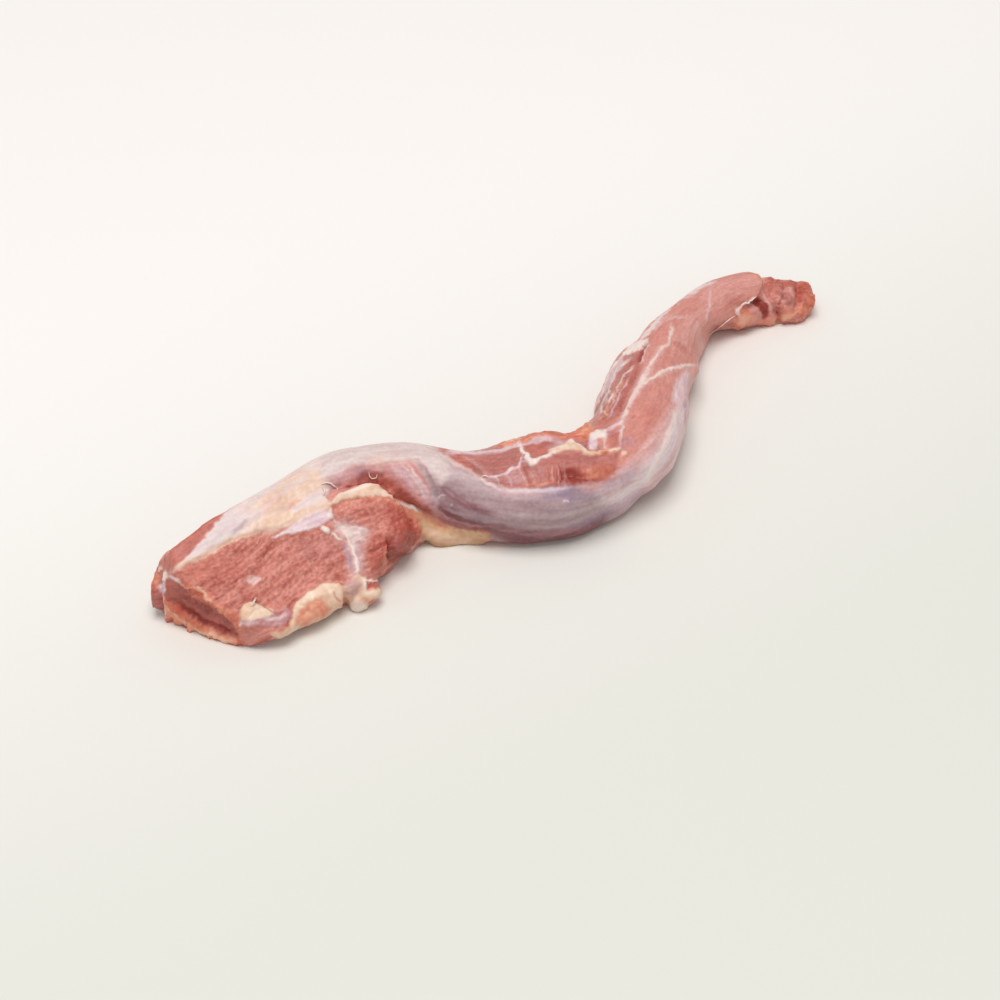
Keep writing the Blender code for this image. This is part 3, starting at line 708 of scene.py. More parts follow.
MIDDLE_FOLDS = (
    Fold([(417, 463), (425, 475), (431, 490), (436, 502), (443, 512)], 5, 0.7),
    Fold([(408, 465), (416, 478), (423, 490), (430, 502)], 2, 0.3),
    Fold([(400, 468), (410, 482), (418, 496)], 2.5, 0.4),
    Fold([(425, 446), (440, 455), (460, 467), (482, 479)], 2.5, 0.6),
    Fold([(482, 479), (502, 488), (522, 489), (545, 488), (575, 484), (598, 482)], 2.5, 0.35),
    Fold([(502, 449), (522, 444), (541, 441), (560, 443), (578, 443), (590, 437)], 2.5, 0.6),
    Fold([(549, 464), (550, 475), (551, 486)], 1.5, 0.5),
    Fold([(554.5, 464), (555.5, 475), (556, 487)], 1.5, 0.6),
    Fold([(561, 465), (562, 475), (562, 486)], 1.5, 0.5),
    Fold([(537, 467), (541, 476), (542, 486)], 1.6, 0.3),
    Fold([(543, 466), (545, 476), (546, 486)], 1.6, 0.3),
    Fold([(437, 514), (452, 520), (471, 526), (490, 531)], 3, 0.7),
    Fold([(606, 455), (617, 456), (626, 450)], 3, 0.4),
    Fold([(588, 428), (596, 432), (604, 427)], 3, 0.5),
    Fold([(616, 438), (624, 443), (633, 440)], 3, 0.4),
    Fold([(521, 466), (525, 474), (528, 483)], 1.6, 0.4),
)
MIDDLE_LUMPS = (
    Lump(575, 475, 15, 7, 0, -1.6),
    Lump(598, 466, 22, 9, -5, 0.7),
    Lump(531, 463, 6, 4, 40, 0.4),
    Lump(545, 436, 20, 5, -5, 0.5),
    Lump(440, 536, 14, 7, 10, 0.4),
    Lump(470, 537, 12, 6, 0, 0.4),
)

THIN_PAINT = (
    Patch("veil", [(636, 452), (650, 434), (662, 416), (670, 402), (676, 390), (676, 410), (664, 436),
        (650, 458), (636, 474)], 6, 0.5),
    Patch("lilac", [(674, 402), (674, 388), (680, 376), (688, 370), (692, 380), (688, 394), (682, 404)],
        3, 0.7, 0.2),
    Stroke("milk", [(676, 400), (678, 388), (684, 376)], 1.2, 0.35),
    Stroke("mauve", [(682, 398), (685, 410), (687, 426)], 2, 0.6),
    Stroke("veil", [(688, 368), (692, 374), (690, 384)], 2.2, 0.6),
    Patch("mauve", [(618, 440), (624, 436), (633, 437), (634, 445), (626, 449), (619, 448)], 3, 0.55),
    Stroke("violet", [(621, 440), (627, 437), (634, 442)], 1.4, 0.25),
    Patch("red", [(608, 432), (618, 431), (620, 441), (612, 446), (607, 440)], 2.5, 0.5),
    Patch("red", [(592, 430), (592, 420), (600, 402), (612, 380), (622, 362), (634, 350), (640, 356),
        (634, 366), (628, 380), (622, 398), (616, 412), (604, 424)], 4, 0.5),
    Patch("dusk", [(636, 352), (618, 360), (604, 380), (594, 402), (588, 422), (602, 430), (616, 420),
        (625, 398), (635, 376), (643, 362)], 2.5, 0.65),
    Patch("red", [(630, 362), (618, 378), (610, 396), (600, 418), (610, 422), (620, 402), (630, 382),
        (638, 366)], 3, 0.35),
    Patch("lilac", [(622, 359), (614, 368), (607, 380), (603, 392), (609, 388), (616, 376), (624, 366)],
        1.5, 0.6, 0.15),
    Stroke("white", [(630, 351), (618, 362), (609, 375), (604, 388), (598, 402), (592, 416)], 1.1, 0.85,
        0.2),
    Stroke("milk", [(632, 357), (622, 367), (614, 379), (610, 391), (603, 404), (598, 417)], 0.9, 0.75,
        0.2),
    Stroke("milk", [(634, 364), (626, 373), (620, 384), (616, 395), (610, 407)], 0.9, 0.7, 0.2),
    Stroke("lilac", [(628, 378), (622, 390), (616, 402), (608, 418)], 0.9, 0.6, 0.1),
    Stroke("milk", [(604, 379), (600, 390), (597, 400)], 0.9, 0.7),
    Stroke("milk", [(613, 371), (616, 378), (610, 388), (612, 396)], 0.8, 0.6),
    Stroke("milk", [(603, 392), (608, 396), (605, 406)], 0.8, 0.6),
    Stroke("torn", [(617, 388), (611, 400), (604, 412), (598, 422)], 1.4, 0.6),
    Stroke("torn", [(625, 376), (620, 388), (613, 402)], 1.1, 0.5),
    Stroke("brown", [(638, 366), (630, 382), (623, 398), (617, 414)], 1.4, 0.6),
    Stroke("brown", [(612, 392), (606, 404), (600, 414)], 0.9, 0.4),
    Stroke("white", [(608, 402), (611, 399), (614, 393)], 1.1, 0.8, 0.2),
    Stroke("fat", [(600, 410), (604, 411), (607, 415)], 1.0, 0.6),
    Patch("white", [(624, 355), (628, 349), (635, 344), (642, 340.5), (649, 339), (643, 347), (635, 352),
        (628, 356)], 1.0, 0.95, 0.4),
    # Painted shade: deep red in the fold beside the white cord.
    Stroke("deep", [(646, 344), (641, 352), (637, 360)], 1.6, 0.8),
    Stroke("milk", [(650, 344), (644, 352), (641, 361)], 1.1, 0.7, 0.3),
    Stroke("brown", [(640, 354), (634, 360)], 1.2, 0.5),
    Stroke("lilac", [(642, 339), (650, 332), (657, 325), (663, 316), (672, 305), (682, 297), (692, 291)],
        1.3, 0.8, 0.25),
    Stroke("milk", [(654, 333), (661, 324), (668, 313)], 1.2, 0.5),
    Stroke("white", [(640, 338), (650, 329), (658, 319), (668, 305), (680, 294), (690, 288)], 1.0, 0.7,
        0.2),
    Stroke("milk", [(664, 322), (674, 318), (688, 316)], 1.0, 0.35),
    Stroke("torn", [(653, 336), (660, 327), (668, 314), (676, 304)], 1.2, 0.5),
    Stroke("milk", [(686, 297), (694, 292), (700, 288), (708, 284), (716, 281)], 2.0, 0.7),
    # The main vessels of white tissue over the thin end.
    Stroke("veil", [(622, 422), (629, 406), (638, 388), (648, 370), (658, 354), (669, 343)], 4.5, 0.65,
        0.1),
    Stroke("veil", [(637, 391), (656, 376), (676, 368), (696, 366)], 3.4, 0.6, 0.1),
    Stroke("rose", [(668, 343), (671, 334), (672, 325)], 2.4, 0.5),
    Stroke("white", [(622, 422), (626, 412), (630.5, 402), (635, 394), (640, 385), (644, 377),
        (648, 369)], 2.4, 0.75, 0.15),
    Stroke("white", [(646, 372), (650, 364), (655, 358), (660.5, 350.5), (668.5, 343), (670.5, 334),
        (671.5, 325)], 1.5, 0.6, 0.1),
    Stroke("white", [(637, 391), (647, 381.5), (656.5, 375), (666, 369.5), (676, 367), (685, 365.5),
        (696, 365)], 1.7, 0.7, 0.12),
    Stroke("white", [(670, 368.5), (674, 367.5)], 2.2, 0.6, 0.2),
    Stroke("torn", [(629, 407), (630, 412)], 1.6, 0.6),
    Stroke("brown", [(631, 415), (635, 414.5)], 1.2, 0.7),
    Stroke("veil", [(664, 318), (680, 316), (694, 318)], 2.0, 0.4),
    Stroke("veil", [(690, 296), (697, 298)], 1.6, 0.5),
    Stroke("veil", [(696, 322), (699, 340), (702, 352)], 3.5, 0.6),
    # Partly a thin veil, partly painted light: it pales the side of the thin end that faces away from the
    # light.
    Stroke("veil", [(676, 352), (688, 332), (702, 312)], 9, 0.4),
    Patch("cut", [(724, 284), (750, 279), (764, 290), (752, 298), (732, 306)], 6, 0.35),
    Stroke("milk", [(706, 322), (709, 308), (710, 298), (710.5, 288)], 1.2, 0.55, 0.15),
    Stroke("veil", [(700, 312), (718, 306), (722, 296)], 1.6, 0.5),
    Stroke("red", [(672, 343), (680, 347), (686, 353)], 2.5, 0.4),
    Stroke("red", [(650, 402), (648, 414), (640, 424)], 5, 0.25),
)
THIN_FOLDS = (
    Fold([(646, 343), (642, 352), (637, 361)], 2, 1.2),
    Fold([(641, 363), (633, 380), (625, 398), (619, 413)], 3, 0.9),
    Fold([(616, 440), (624, 441), (632, 437)], 3, 0.5),
    Fold([(687, 371), (680, 385), (674, 398)], 3, 0.4),
    Fold([(692, 379), (687, 390), (685, 400)], 2.5, 0.4),
    Fold([(655, 329), (645, 342), (636, 352)], 2, 0.4),
    Fold([(629, 412), (632, 416), (637, 415)], 2, 0.6),
    Fold([(638, 396), (634, 408), (631, 416)], 2, 0.5),
)
THIN_LUMPS = (
    Lump(694, 371, 6, 5, 60, 0.7),
    Lump(618, 374, 18, 6, -60, 0.6),
)

TAIL_TOP = [
    (767, 276), (768, 290), (773, 301), (777, 312), (776, 328), (800, 324), (818, 312), (822, 300),
    (815, 280), (795, 272),
]
TAIL_PAINT = (
    Stroke("white", [(640, 341), (650, 332), (658, 322), (664, 315)], 1.2, 0.7, 0.1),
    Stroke("white", [(678, 303), (686, 296), (695, 290), (704, 287)], 1.4, 0.7, 0.1),
    Stroke("milk", [(613, 361), (622, 351), (634, 342)], 1.2, 0.6),
    Patch("veil", [(700, 292), (716, 282), (740, 277), (756, 276), (764, 284), (752, 292), (730, 298),
        (712, 304), (702, 312)], 6, 0.4),
    Stroke("torn", [(754, 275), (762, 279), (767, 284)], 2.5, 0.5),
    Patch("cut", TAIL_TOP, 2, 0.9),
    Patch("red", [(766, 280), (775, 281), (786, 280), (799, 283), (801, 292), (790, 288), (776, 288)], 3,
        0.6),
    Patch("rose", [(780, 291), (788, 287), (795, 294), (796, 304), (788, 308), (781, 303)], 4, 0.3),
    Patch("dusk", [(768, 290), (774, 294), (779, 304), (778, 314), (772, 312), (770, 300)], 2.5, 0.5),
    Patch("red", [(793, 284), (802, 287), (804, 298), (800, 305), (796, 296)], 2.5, 0.9),
    # Painted shade: deep red in the tail's crease.
    Stroke("deep", [(783, 285), (786, 291), (784, 298)], 1.4, 0.4),
    Stroke("brown", [(788, 293), (791, 300), (788, 307)], 1.5, 0.45),
    Stroke("brown", [(776, 289), (780, 296), (779, 304)], 1.5, 0.45),
    Stroke("veil", [(776, 296), (781, 298), (786, 303)], 1.2, 0.6),
    Stroke("veil", [(783, 289), (790, 289), (794, 294)], 1.2, 0.5),
    Patch("torn", [(801, 283), (809, 280), (813, 290), (822, 299), (816, 312), (803, 315), (798, 310),
        (806, 301), (806, 290)], 2, 0.9, 0.2),
    Patch("red", [(800, 284), (809, 286), (815, 298), (808, 309), (801, 305)], 3, 0.65),
    Stroke("torn", [(776, 320), (786, 316.5), (797, 312), (808, 312)], 3.4, 0.95, 0.3),
    Stroke("peach", [(780, 319), (790, 315), (800, 311)], 1.2, 0.4),
    Stroke("torn", [(774, 280), (790, 278), (806, 280)], 1.8, 0.7),
    Patch("torn", [(731, 321), (735, 312), (744, 308), (752, 311), (753, 320), (744, 327), (734, 327)], 2,
        0.75, 0.2),
    Stroke("peach", [(737, 320), (744, 316), (750, 318)], 4.5, 0.4),
    Patch("mauve", [(750, 306), (755, 305), (760, 309), (759, 313), (753, 312)], 1.8, 0.5),
    Patch("torn", [(758, 321), (768, 318), (776, 322), (768, 327), (756, 326)], 2, 0.6),
    # Painted shade: deep red in the notch and crease.
    Patch("deep", [(747, 303), (756, 297), (763, 298), (768, 306), (768, 316), (762, 318), (760, 311),
        (755, 305)], 1.5, 0.9),
    Stroke("deep", [(778, 314), (779, 320)], 1.5, 0.7),
    Stroke("white", [(737, 315), (736, 311), (738, 308.5), (743, 304.5), (749, 301), (755, 296.5)], 1.5,
        0.9, 0.5),
    Stroke("veil", [(762, 290), (768, 300), (772, 312)], 2, 0.5),
    Stroke("brown", [(708, 331), (716, 326), (724, 323), (736, 324)], 2.5, 0.6),
    Stroke("brown", [(742, 326), (750, 328), (759, 325)], 2, 0.6),
)
TAIL_FOLDS = (
    Fold([(766, 277), (768, 290), (773, 300), (777, 312), (778, 326)], 3, 1.4),
    Fold([(746, 307), (754, 304), (763, 300)], 4, 2.0),
    Fold([(763, 298), (765, 309), (768, 318)], 2.5, 1.0),
    Fold([(783, 281), (786, 292), (783, 302), (786, 310)], 2.5, 1.1),
    Fold([(797, 283), (799, 297), (795, 308)], 3, 1.2),
    Fold([(772, 290), (779, 294), (788, 293)], 2, 0.6),
    Fold([(776, 303), (784, 306), (792, 303)], 2, 0.6),
    Fold([(813, 284), (813, 291), (816, 293)], 3, 1.0),
    Fold([(778, 312), (779, 320), (779, 326)], 2, 0.9),
)
TAIL_LUMPS = (
    Lump(742, 320, 11, 8, -10, 1.6),
    Lump(754, 310, 5, 5, 0, 0.7),
    Lump(777, 288, 5, 5, 20, 0.8),
    Lump(775, 300, 4, 6, 0, 0.7),
    Lump(790, 290, 5, 5, 0, 0.8),
    Lump(790, 302, 5, 5, 0, 0.8),
    Lump(782, 309, 5, 4, 0, 0.7),
    Lump(807, 298, 7, 12, 0, 0.5),
    Lump(765, 321, 10, 5, 0, 0.6),
    Lump(735, 298, 10, 16, 20, 0.5),
)
PAINT = MIDDLE_PAINT + HEAD_PAINT + THIN_PAINT + TAIL_PAINT
FOLDS = HEAD_FOLDS + MIDDLE_FOLDS + THIN_FOLDS + TAIL_FOLDS
LUMPS = HEAD_LUMPS + MIDDLE_LUMPS + THIN_LUMPS + TAIL_LUMPS

# The grain: muscle fibres run along the fillet, and slant across the knife's cut.
MUSCLE_AXIS = [
    (-103, -82), (-91, -67), (-77, -55), (-61, -42), (-45, -30), (-30, -25), (-16, -24), (-4, -26),
    (11, -25), (23, -22), (34, -12), (40, 3), (43, 20), (47, 35), (52, 48), (60, 60), (68, 69), (77, 72),
    (90, 74), (104, 76),
]
AXIS_HEIGHT = 12 * MM
GIRTH_RADIUS = 13 * MM
FORESHORTENING = 1.2
DRAWN_DEEP = 0.2
CUT_GRAIN = [
    (150, 600), (185, 590), (215, 578), (238, 564), (258, 546), (278, 530), (306, 515), (350, 496),
]
FACE_GRAIN = [(300, 532), (340, 518), (380, 502), (430, 478)]
FACE = [(328, 506), (345, 497), (392, 496), (420, 520), (415, 540), (384, 548), (366, 536), (350, 524)]

# Each point of the mesh takes its place along the fillet, round it and out from its middle line.
axis = rounded(MUSCLE_AXIS) * MM
step = np.linalg.norm(np.diff(axis, axis=0), axis=1)
run = np.concatenate([[0], np.cumsum(step)])
heading = np.gradient(axis, axis=0)
heading /= np.linalg.norm(heading, axis=1)[:, None]
nearest = np.array([np.argmin(((axis - spot[:2]) ** 2).sum(1)) for spot in place])
offset = place[:, :2] - axis[nearest]
lengthways = run[nearest] + (offset * heading[nearest]).sum(1)
sideways = offset[:, 0] * heading[nearest][:, 1] - offset[:, 1] * heading[nearest][:, 0]
girth = np.hypot(sideways, place[:, 2] - AXIS_HEIGHT)
round_angle = np.arctan2(place[:, 2] - AXIS_HEIGHT, sideways)
grain = np.stack([lengthways, round_angle * GIRTH_RADIUS, girth], 1)

# Paint goes on the side that the camera sees, and fades out where the surface turns away from it.
PIXEL_SIZE = CAMERA_DISTANCE * PIXEL
front = ease(-0.1, 0.2, facing)
on_cut = ease(-1, 1, within(px, py, rounded(CUT_TOP, True))) * front
on_face = ease(-1, 1, within(px, py, rounded(FACE, True))) * front
for line, share in ((CUT_GRAIN, on_cut), (FACE_GRAIN, on_face)):
    gap, along, side = beside(px, py, rounded(line))
    deep = place[:, 2] / PIXEL_SIZE * DRAWN_DEEP
    slanted = np.stack([along, gap * side * FORESHORTENING, deep], 1) * PIXEL_SIZE
    grain = np.where(share[:, None] > 0.5, slanted, grain)


def fibrous(size, seed, drawn, deep=0.3):
    """Smooth noise of a size in millimetres that is drawn out along the fibres."""
    return cloud(grain * np.array((drawn, 1, deep)), size * MM, seed)


# The surface of each tissue: bundles of fibres and furrows between them in the lean, crumbs where it
# is torn, lobules in the fat, and long shallow ripples under the silverskin.
bundle = fibrous(2.6, 3, 0.14, 0.4)
fibre = fibrous(1.0, 11, 0.22, 0.4)
speck = cloud(place, 0.8 * MM, 71.0)
crack = ease(0.16, 0.02, np.abs(fibrous(3.0, 83, 0.34)))
crack *= ease(-0.1, 0.5, cloud(place, 4 * MM, 29.0))
# Painted glints: pale flecks that stand for the shine of the wet cut.
painted_glint = ease(0.35, 0.75, fibrous(0.9, 53, 0.5, 1))
ripple = fibrous(6, 19, 0.12)
crumb = cloud(place, 1.3 * MM, 5.0)
blotch = cloud(place, 4.5 * MM, 13.0)
swell = cloud(place, 14 * MM, 17.0)


def colour(code):
    """An sRGB hex code as the linear colour that a shader takes."""
    channels = [int(code[i:i + 2], 16) / 255 for i in (1, 3, 5)]
    return tuple(c / 12.92 if c < 0.04045 else ((c + 0.055) / 1.055) ** 2.4 for c in channels) + (1,)


def tones(name):
    """A tissue's colour at every point: a cut one has painted shade in its furrows and painted glints in
    its flecks.
    """
    kind = TISSUES[name]
    streaks = 0.35 * bundle + 0.45 * fibre + 0.35 * speck
    blotches = 0.6 * blotch + 0.4 * crumb
    # On the cut, painted shade darkens the furrows and painted glints pale the flecks.
    if name == "cut":
        streaks = streaks + 0.6 * crack - 0.5 * painted_glint - 0.02
    share = ease(-0.9, 0.9, kind.streaked * streaks + (1 - kind.streaked) * blotches)[:, None]
    return np.array(colour(kind.light)) * (1 - share) + np.array(colour(kind.dark)) * share


# Every edge wanders a little, as torn tissue does.
WANDER = 0.9
FRAY = 0.6
wx = px + WANDER * cloud(place, 2.2 * MM) + FRAY * cloud(place, 1.1 * MM, 7.0)
wy = py + WANDER * cloud(place, 2.2 * MM, 31.0) + FRAY * cloud(place, 1.1 * MM, 47.0)

# Round the back and underneath, where the photograph shows nothing, lean, silverskin and a little
# fat go on in patches that follow the grain.
behind = ease(0.12, -0.2, facing)
drift = fibrous(9, 37, 0.25)
HEAD_END = 110 * MM
SKIN_THINS = 195 * MM
SKIN_ENDS = 225 * MM
on_head = ease(HEAD_END, HEAD_END / 2, lengthways)
skinned = ease(SKIN_ENDS, SKIN_THINS, lengthways)
paint = tones("lean")
far_side = (
    ("rose", ease(-0.3, 0.5, fibrous(12, 61, 0.3)) * 0.6),
    ("red", ease(0.2, 0.7, fibrous(7, 67, 0.2)) * 0.5),
    ("veil", ease(-0.1, -0.6, drift) * 0.8),
    ("pearl", ease(0, 0.5, drift) * 0.85 * skinned),
    ("mauve", ease(0.5, 0.9, drift) * 0.6 * skinned),
    ("peach", ease(0.3, 0.7, fibrous(10, 43, 0.4)) * 0.8 * on_head),
)
for name, share in far_side:
    share = (share * behind)[:, None]
    paint = paint * (1 - share) + tones(name) * share

FILM = ("milk", "pearl", "silver", "lilac", "plum_shade", "violet")
FATTY = ("fat", "peach", "flap", "white")
RAGGED = ("torn", "brown", "deep")
height = np.zeros(count)
film = 0.6 * behind
fatty = np.zeros(count)
ragged = np.zeros(count)


def beside_line(points, taper, tip):
    """How far the surface is from a line, and its strength there: it fades to tip at its two ends."""
    line = rounded(points)
    gap, along, _ = beside(wx, wy, line)
    share = along / np.linalg.norm(np.diff(line, axis=0), axis=1).sum()
    return gap, tip + (1 - tip) * ease(0, taper, share) * ease(0, taper, 1 - share)


for mark in PAINT:
    if isinstance(mark, Patch):
        depth = within(wx, wy, rounded(mark.outline, True))
        share = ease(-mark.soft, mark.soft, depth)
    else:
        gap, strength = beside_line(mark.line, taper=0.15, tip=0.3)
        share = ease(1.5, 0.4, gap / mark.half_width) * strength
    share = share * front
    height += mark.raised * share
    share = share * mark.dense
    paint = paint * (1 - share[:, None]) + tones(mark.tissue) * share[:, None]
    film = film * (1 - share) + share * (mark.tissue in FILM)
    fatty = fatty * (1 - share) + share * (mark.tissue in FATTY)
    ragged = ragged * (1 - share) + share * (mark.tissue in RAGGED)
for fold in FOLDS:
    gap, strength = beside_line(fold.line, taper=0.2, tip=0.35)
    height -= front * fold.depth * np.exp(-((gap / fold.width) ** 2)) * strength
LUMP_EDGE = 1.4
for lump in LUMPS:
    turn = math.radians(lump.turn)
    dx, dy = wx - lump.x, wy - lump.y
    u = (dx * math.cos(turn) + dy * math.sin(turn)) / lump.long
    v = (dy * math.cos(turn) - dx * math.sin(turn)) / lump.short
    height += front * lump.height * np.exp(-(u * u + v * v) * LUMP_EDGE)

# Each number is how many millimetres a pattern stands proud: on the knife's cut, on the lean that it
# missed, under the film, on torn meat, in the fat, and all over.
bare = np.clip(1 - film - fatty, 0, 1)
tail_end = front * ease(-2, 2, within(px, py, rounded(TAIL_TOP, True)))
height += bare * on_cut * (0.14 * bundle + 0.18 * fibre + 0.2 * speck - 0.2 * crack)
height += bare * (1 - on_cut) * (0.14 * bundle + 0.08 * fibre)
height += 0.20 * ripple * (0.4 + 0.6 * film)
height += 0.35 * np.maximum(ragged, tail_end) * crumb
height += fatty * (0.22 * blotch + 0.14 * crumb)
height += 0.35 * swell
place += outward * (height * MM)[:, None]
TABLE_CONTACT = 0.4 * MM
place[place[:, 2] < TABLE_CONTACT, 2] = 0

# Nothing passes the box of the solid: what would is eased back inside it.
KEPT_CLEAR = 0.05 * MM
EASE_ROOM = 1.2 * MM
for way in (0, 1):
    lowest = cad_box[0][way] + KEPT_CLEAR + EASE_ROOM
    highest = cad_box[1][way] - KEPT_CLEAR - EASE_ROOM
    below = np.maximum(lowest - place[:, way], 0)
    above = np.maximum(place[:, way] - highest, 0)
    place[:, way] += below - EASE_ROOM * (1 - np.exp(-below / EASE_ROOM))
    place[:, way] -= above - EASE_ROOM * (1 - np.exp(-above / EASE_ROOM))
place[:, 2] = np.clip(place[:, 2], 0, cad_box[1][2] - KEPT_CLEAR)
muscle.data.vertices.foreach_set("co", place.ravel())
muscle.data.update()
bpy.ops.object.shade_smooth()

# What the material reads: how filmy and fatty each point is, its grain and its paint.
for name, values in (("film", film), ("fatty", fatty)):
    layer = muscle.data.attributes.new(name, "FLOAT", "POINT")
    layer.data.foreach_set("value", np.clip(values, 0, 1).astype(np.float32))
layer = muscle.data.attributes.new("grain", "FLOAT_VECTOR", "POINT")
layer.data.foreach_set("vector", grain.astype(np.float32).ravel())
layer = muscle.data.attributes.new("paint", "FLOAT_COLOR", "POINT")
layer.data.foreach_set("color", paint.astype(np.float32).ravel())


def add(material, kind, inputs=None, **settings):
    """Adds a node with its settings, and sets or links its inputs."""
    made = material.node_tree.nodes.new(kind)
    for name, value in settings.items():
        setattr(made, name, value)
    for name, value in (inputs or {}).items():
        if isinstance(value, bpy.types.NodeSocket):
            material.node_tree.links.new(value, made.inputs[name])
        else:
            made.inputs[name].default_value = value
    return made


# Raw lamb, hung and trimmed: moist meat that light enters for about a millimetre, under a satin wet
# film. Fine fibres streak its colour and break its shine. The first two lines number the sockets of
# a Mix node: its factor, its two colours and their result, and its two plain numbers.
MIX_FACTOR, MIX_A, MIX_B, MIX_OUT = 0, 6, 7, 2
PLAIN_A, PLAIN_B = 2, 3
FIBRE_DRAWN = (0.16, 1, 1)
FIBRE_SIZE = 0.8 * MM
SPECKLE_SIZE = 1.0 * MM
WET_RELIEF = 0.3 * MM
meat = bpy.data.materials.new("raw_lamb_lean_and_silverskin")
meat.use_nodes = True
shader = meat.node_tree.nodes["Principled BSDF"]
painted = add(meat, "ShaderNodeAttribute", attribute_name="paint").outputs["Color"]
fibres = add(meat, "ShaderNodeAttribute", attribute_name="grain").outputs["Vector"]
filmy = add(meat, "ShaderNodeAttribute", attribute_name="film").outputs["Fac"]
fattish = add(meat, "ShaderNodeAttribute", attribute_name="fatty").outputs["Fac"]
spot = add(meat, "ShaderNodeTexCoord").outputs["Object"]
drawn = add(meat, "ShaderNodeVectorMath", {0: fibres, 1: FIBRE_DRAWN}, operation="MULTIPLY")
streak = add(meat, "ShaderNodeTexNoise", {"Vector": drawn.outputs[0], "Scale": 1 / FIBRE_SIZE,
                                          "Detail": 3.0, "Roughness": 0.65}).outputs["Fac"]
speckle = add(meat, "ShaderNodeTexNoise", {"Vector": spot, "Scale": 1 / SPECKLE_SIZE, "Detail": 4.0,
                                           "Roughness": 0.65}).outputs["Fac"]
texture = add(meat, "ShaderNodeMix", {MIX_FACTOR: 0.45, PLAIN_A: streak, PLAIN_B: speckle}).outputs[0]
lively = add(meat, "ShaderNodeMapRange", {"Value": texture, "From Min": 0.34, "From Max": 0.66,
                                          "To Min": 0.83, "To Max": 1.14}).outputs["Result"]
quiet = add(meat, "ShaderNodeMapRange", {"Value": streak, "From Min": 0.3, "From Max": 0.7,
                                         "To Min": 0.95, "To Max": 1.045}).outputs["Result"]
smooth = add(meat, "ShaderNodeMath", {0: filmy, 1: fattish}, operation="ADD", use_clamp=True).outputs[0]
shade = add(meat, "ShaderNodeMix", {MIX_FACTOR: smooth, PLAIN_A: lively, PLAIN_B: quiet}).outputs[0]
tinted = add(meat, "ShaderNodeVectorMath", {0: painted, 3: shade}, operation="SCALE").outputs[0]
meat.node_tree.links.new(tinted, shader.inputs["Base Color"])
dull = add(meat, "ShaderNodeMapRange", {"Value": texture, "From Min": 0.3, "From Max": 0.7,
                                        "To Min": 0.34, "To Max": 0.55}).outputs["Result"]
meat.node_tree.links.new(dull, shader.inputs["Roughness"])
relief = add(meat, "ShaderNodeBump", {"Height": texture, "Strength": 0.4, "Distance": WET_RELIEF})
meat.node_tree.links.new(relief.outputs["Normal"], shader.inputs["Normal"])
shader.inputs["Subsurface Weight"].default_value = 0.25
shader.inputs["Subsurface Radius"].default_value = (1.0, 0.4, 0.3)
shader.inputs["Subsurface Scale"].default_value = 1.0 * MM
shader.inputs["IOR"].default_value = 1.38
shader.inputs["Coat Weight"].default_value = 0.12
shader.inputs["Coat Roughness"].default_value = 0.3
muscle.data.materials.clear()
muscle.data.materials.append(meat)
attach(muscle, "root")
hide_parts("lamb_fillet")

# Loose threads: torn ends of white tissue that stand off the surface. Each is a thin tapered cord
# that leaves the meat, arches over it and lies down again.
Thread = namedtuple("Thread", "line width lift")
THREADS = (
    Thread([(369, 472), (369.5, 476), (372, 478), (376, 477.5), (377, 474)], 0.32, 0.4),
    Thread([(320, 485), (326, 483.5), (333, 485.5), (338, 490)], 0.5, 0.5),
    Thread([(322, 487), (324, 491.5), (323, 496)], 0.5, 0.5),
    Thread([(251, 607), (254, 602.5), (257, 598)], 0.55, 1.2),
    Thread([(737, 315), (736, 311), (738, 308.5)], 0.5, 0.6),
    Thread([(739, 309), (743, 304.5), (749, 301), (756, 296.5)], 0.6, 0.5),
    Thread([(736, 315), (730, 318.5), (725, 322), (713, 331), (707, 336)], 0.35, 0.3),
    Thread([(481, 477), (485, 476), (489, 477.5)], 0.4, 0.3),
)
THREAD_SIDES = 8
THREAD_STEP = 1.2
FEWEST_STOPS = 5
TAPER = 3
TIP = 0.3

surface = BVHTree.FromObject(muscle, bpy.context.evaluated_depsgraph_get())


def strand(mesh, thread):
    """Adds one thread to the mesh, over the meat along its line of pixels."""
    route = rounded(thread.line, steps=8)
    stops = np.concatenate([[0], np.cumsum(np.linalg.norm(np.diff(route, axis=0), axis=1))])
    even_stops = np.linspace(0, stops[-1], max(FEWEST_STOPS, round(stops[-1] / THREAD_STEP)))
    spots = []
    for x, y in zip(np.interp(even_stops, stops, route[:, 0]), np.interp(even_stops, stops, route[:, 1])):
        hit, normal, _, _ = surface.ray_cast(eye, line_of_sight(x, y))
        if hit:
            spots.append((hit, normal))
    rings = []
    for i, (foot, normal) in enumerate(spots):
        ahead = spots[min(i + 1, len(spots) - 1)][0] - spots[max(i - 1, 0)][0]
        across = normal.cross(ahead).normalized()
        share = i / (len(spots) - 1)
        taper = min(1, TIP + TAPER * share, TIP + TAPER * (1 - share))
        half = 0.5 * thread.width * MM * taper
        middle = foot + normal * thread.lift * MM * math.sin(math.pi * share)
        ring = []
        for k in range(THREAD_SIDES):
            angle = 2 * math.pi * k / THREAD_SIDES
            outwards = across * math.cos(angle) + normal * math.sin(angle)
            ring.append(mesh.verts.new(middle + half * outwards))
        rings.append(ring)
    for ring, following in zip(rings, rings[1:]):
        for k in range(THREAD_SIDES):
            j = (k + 1) % THREAD_SIDES
            mesh.faces.new((ring[k], ring[j], following[j], following[k]))
    mesh.faces.new(rings[0][::-1])
    mesh.faces.new(rings[-1])


made = bmesh.new()
for thread in THREADS:
    strand(made, thread)
bmesh.ops.recalc_face_normals(made, faces=made.faces)
threads = bpy.data.objects.new("loose_threads", bpy.data.meshes.new("loose_threads"))
made.to_mesh(threads.data)
made.free()
bpy.context.scene.collection.objects.link(threads)
for face in threads.data.polygons:
    face.use_smooth = True

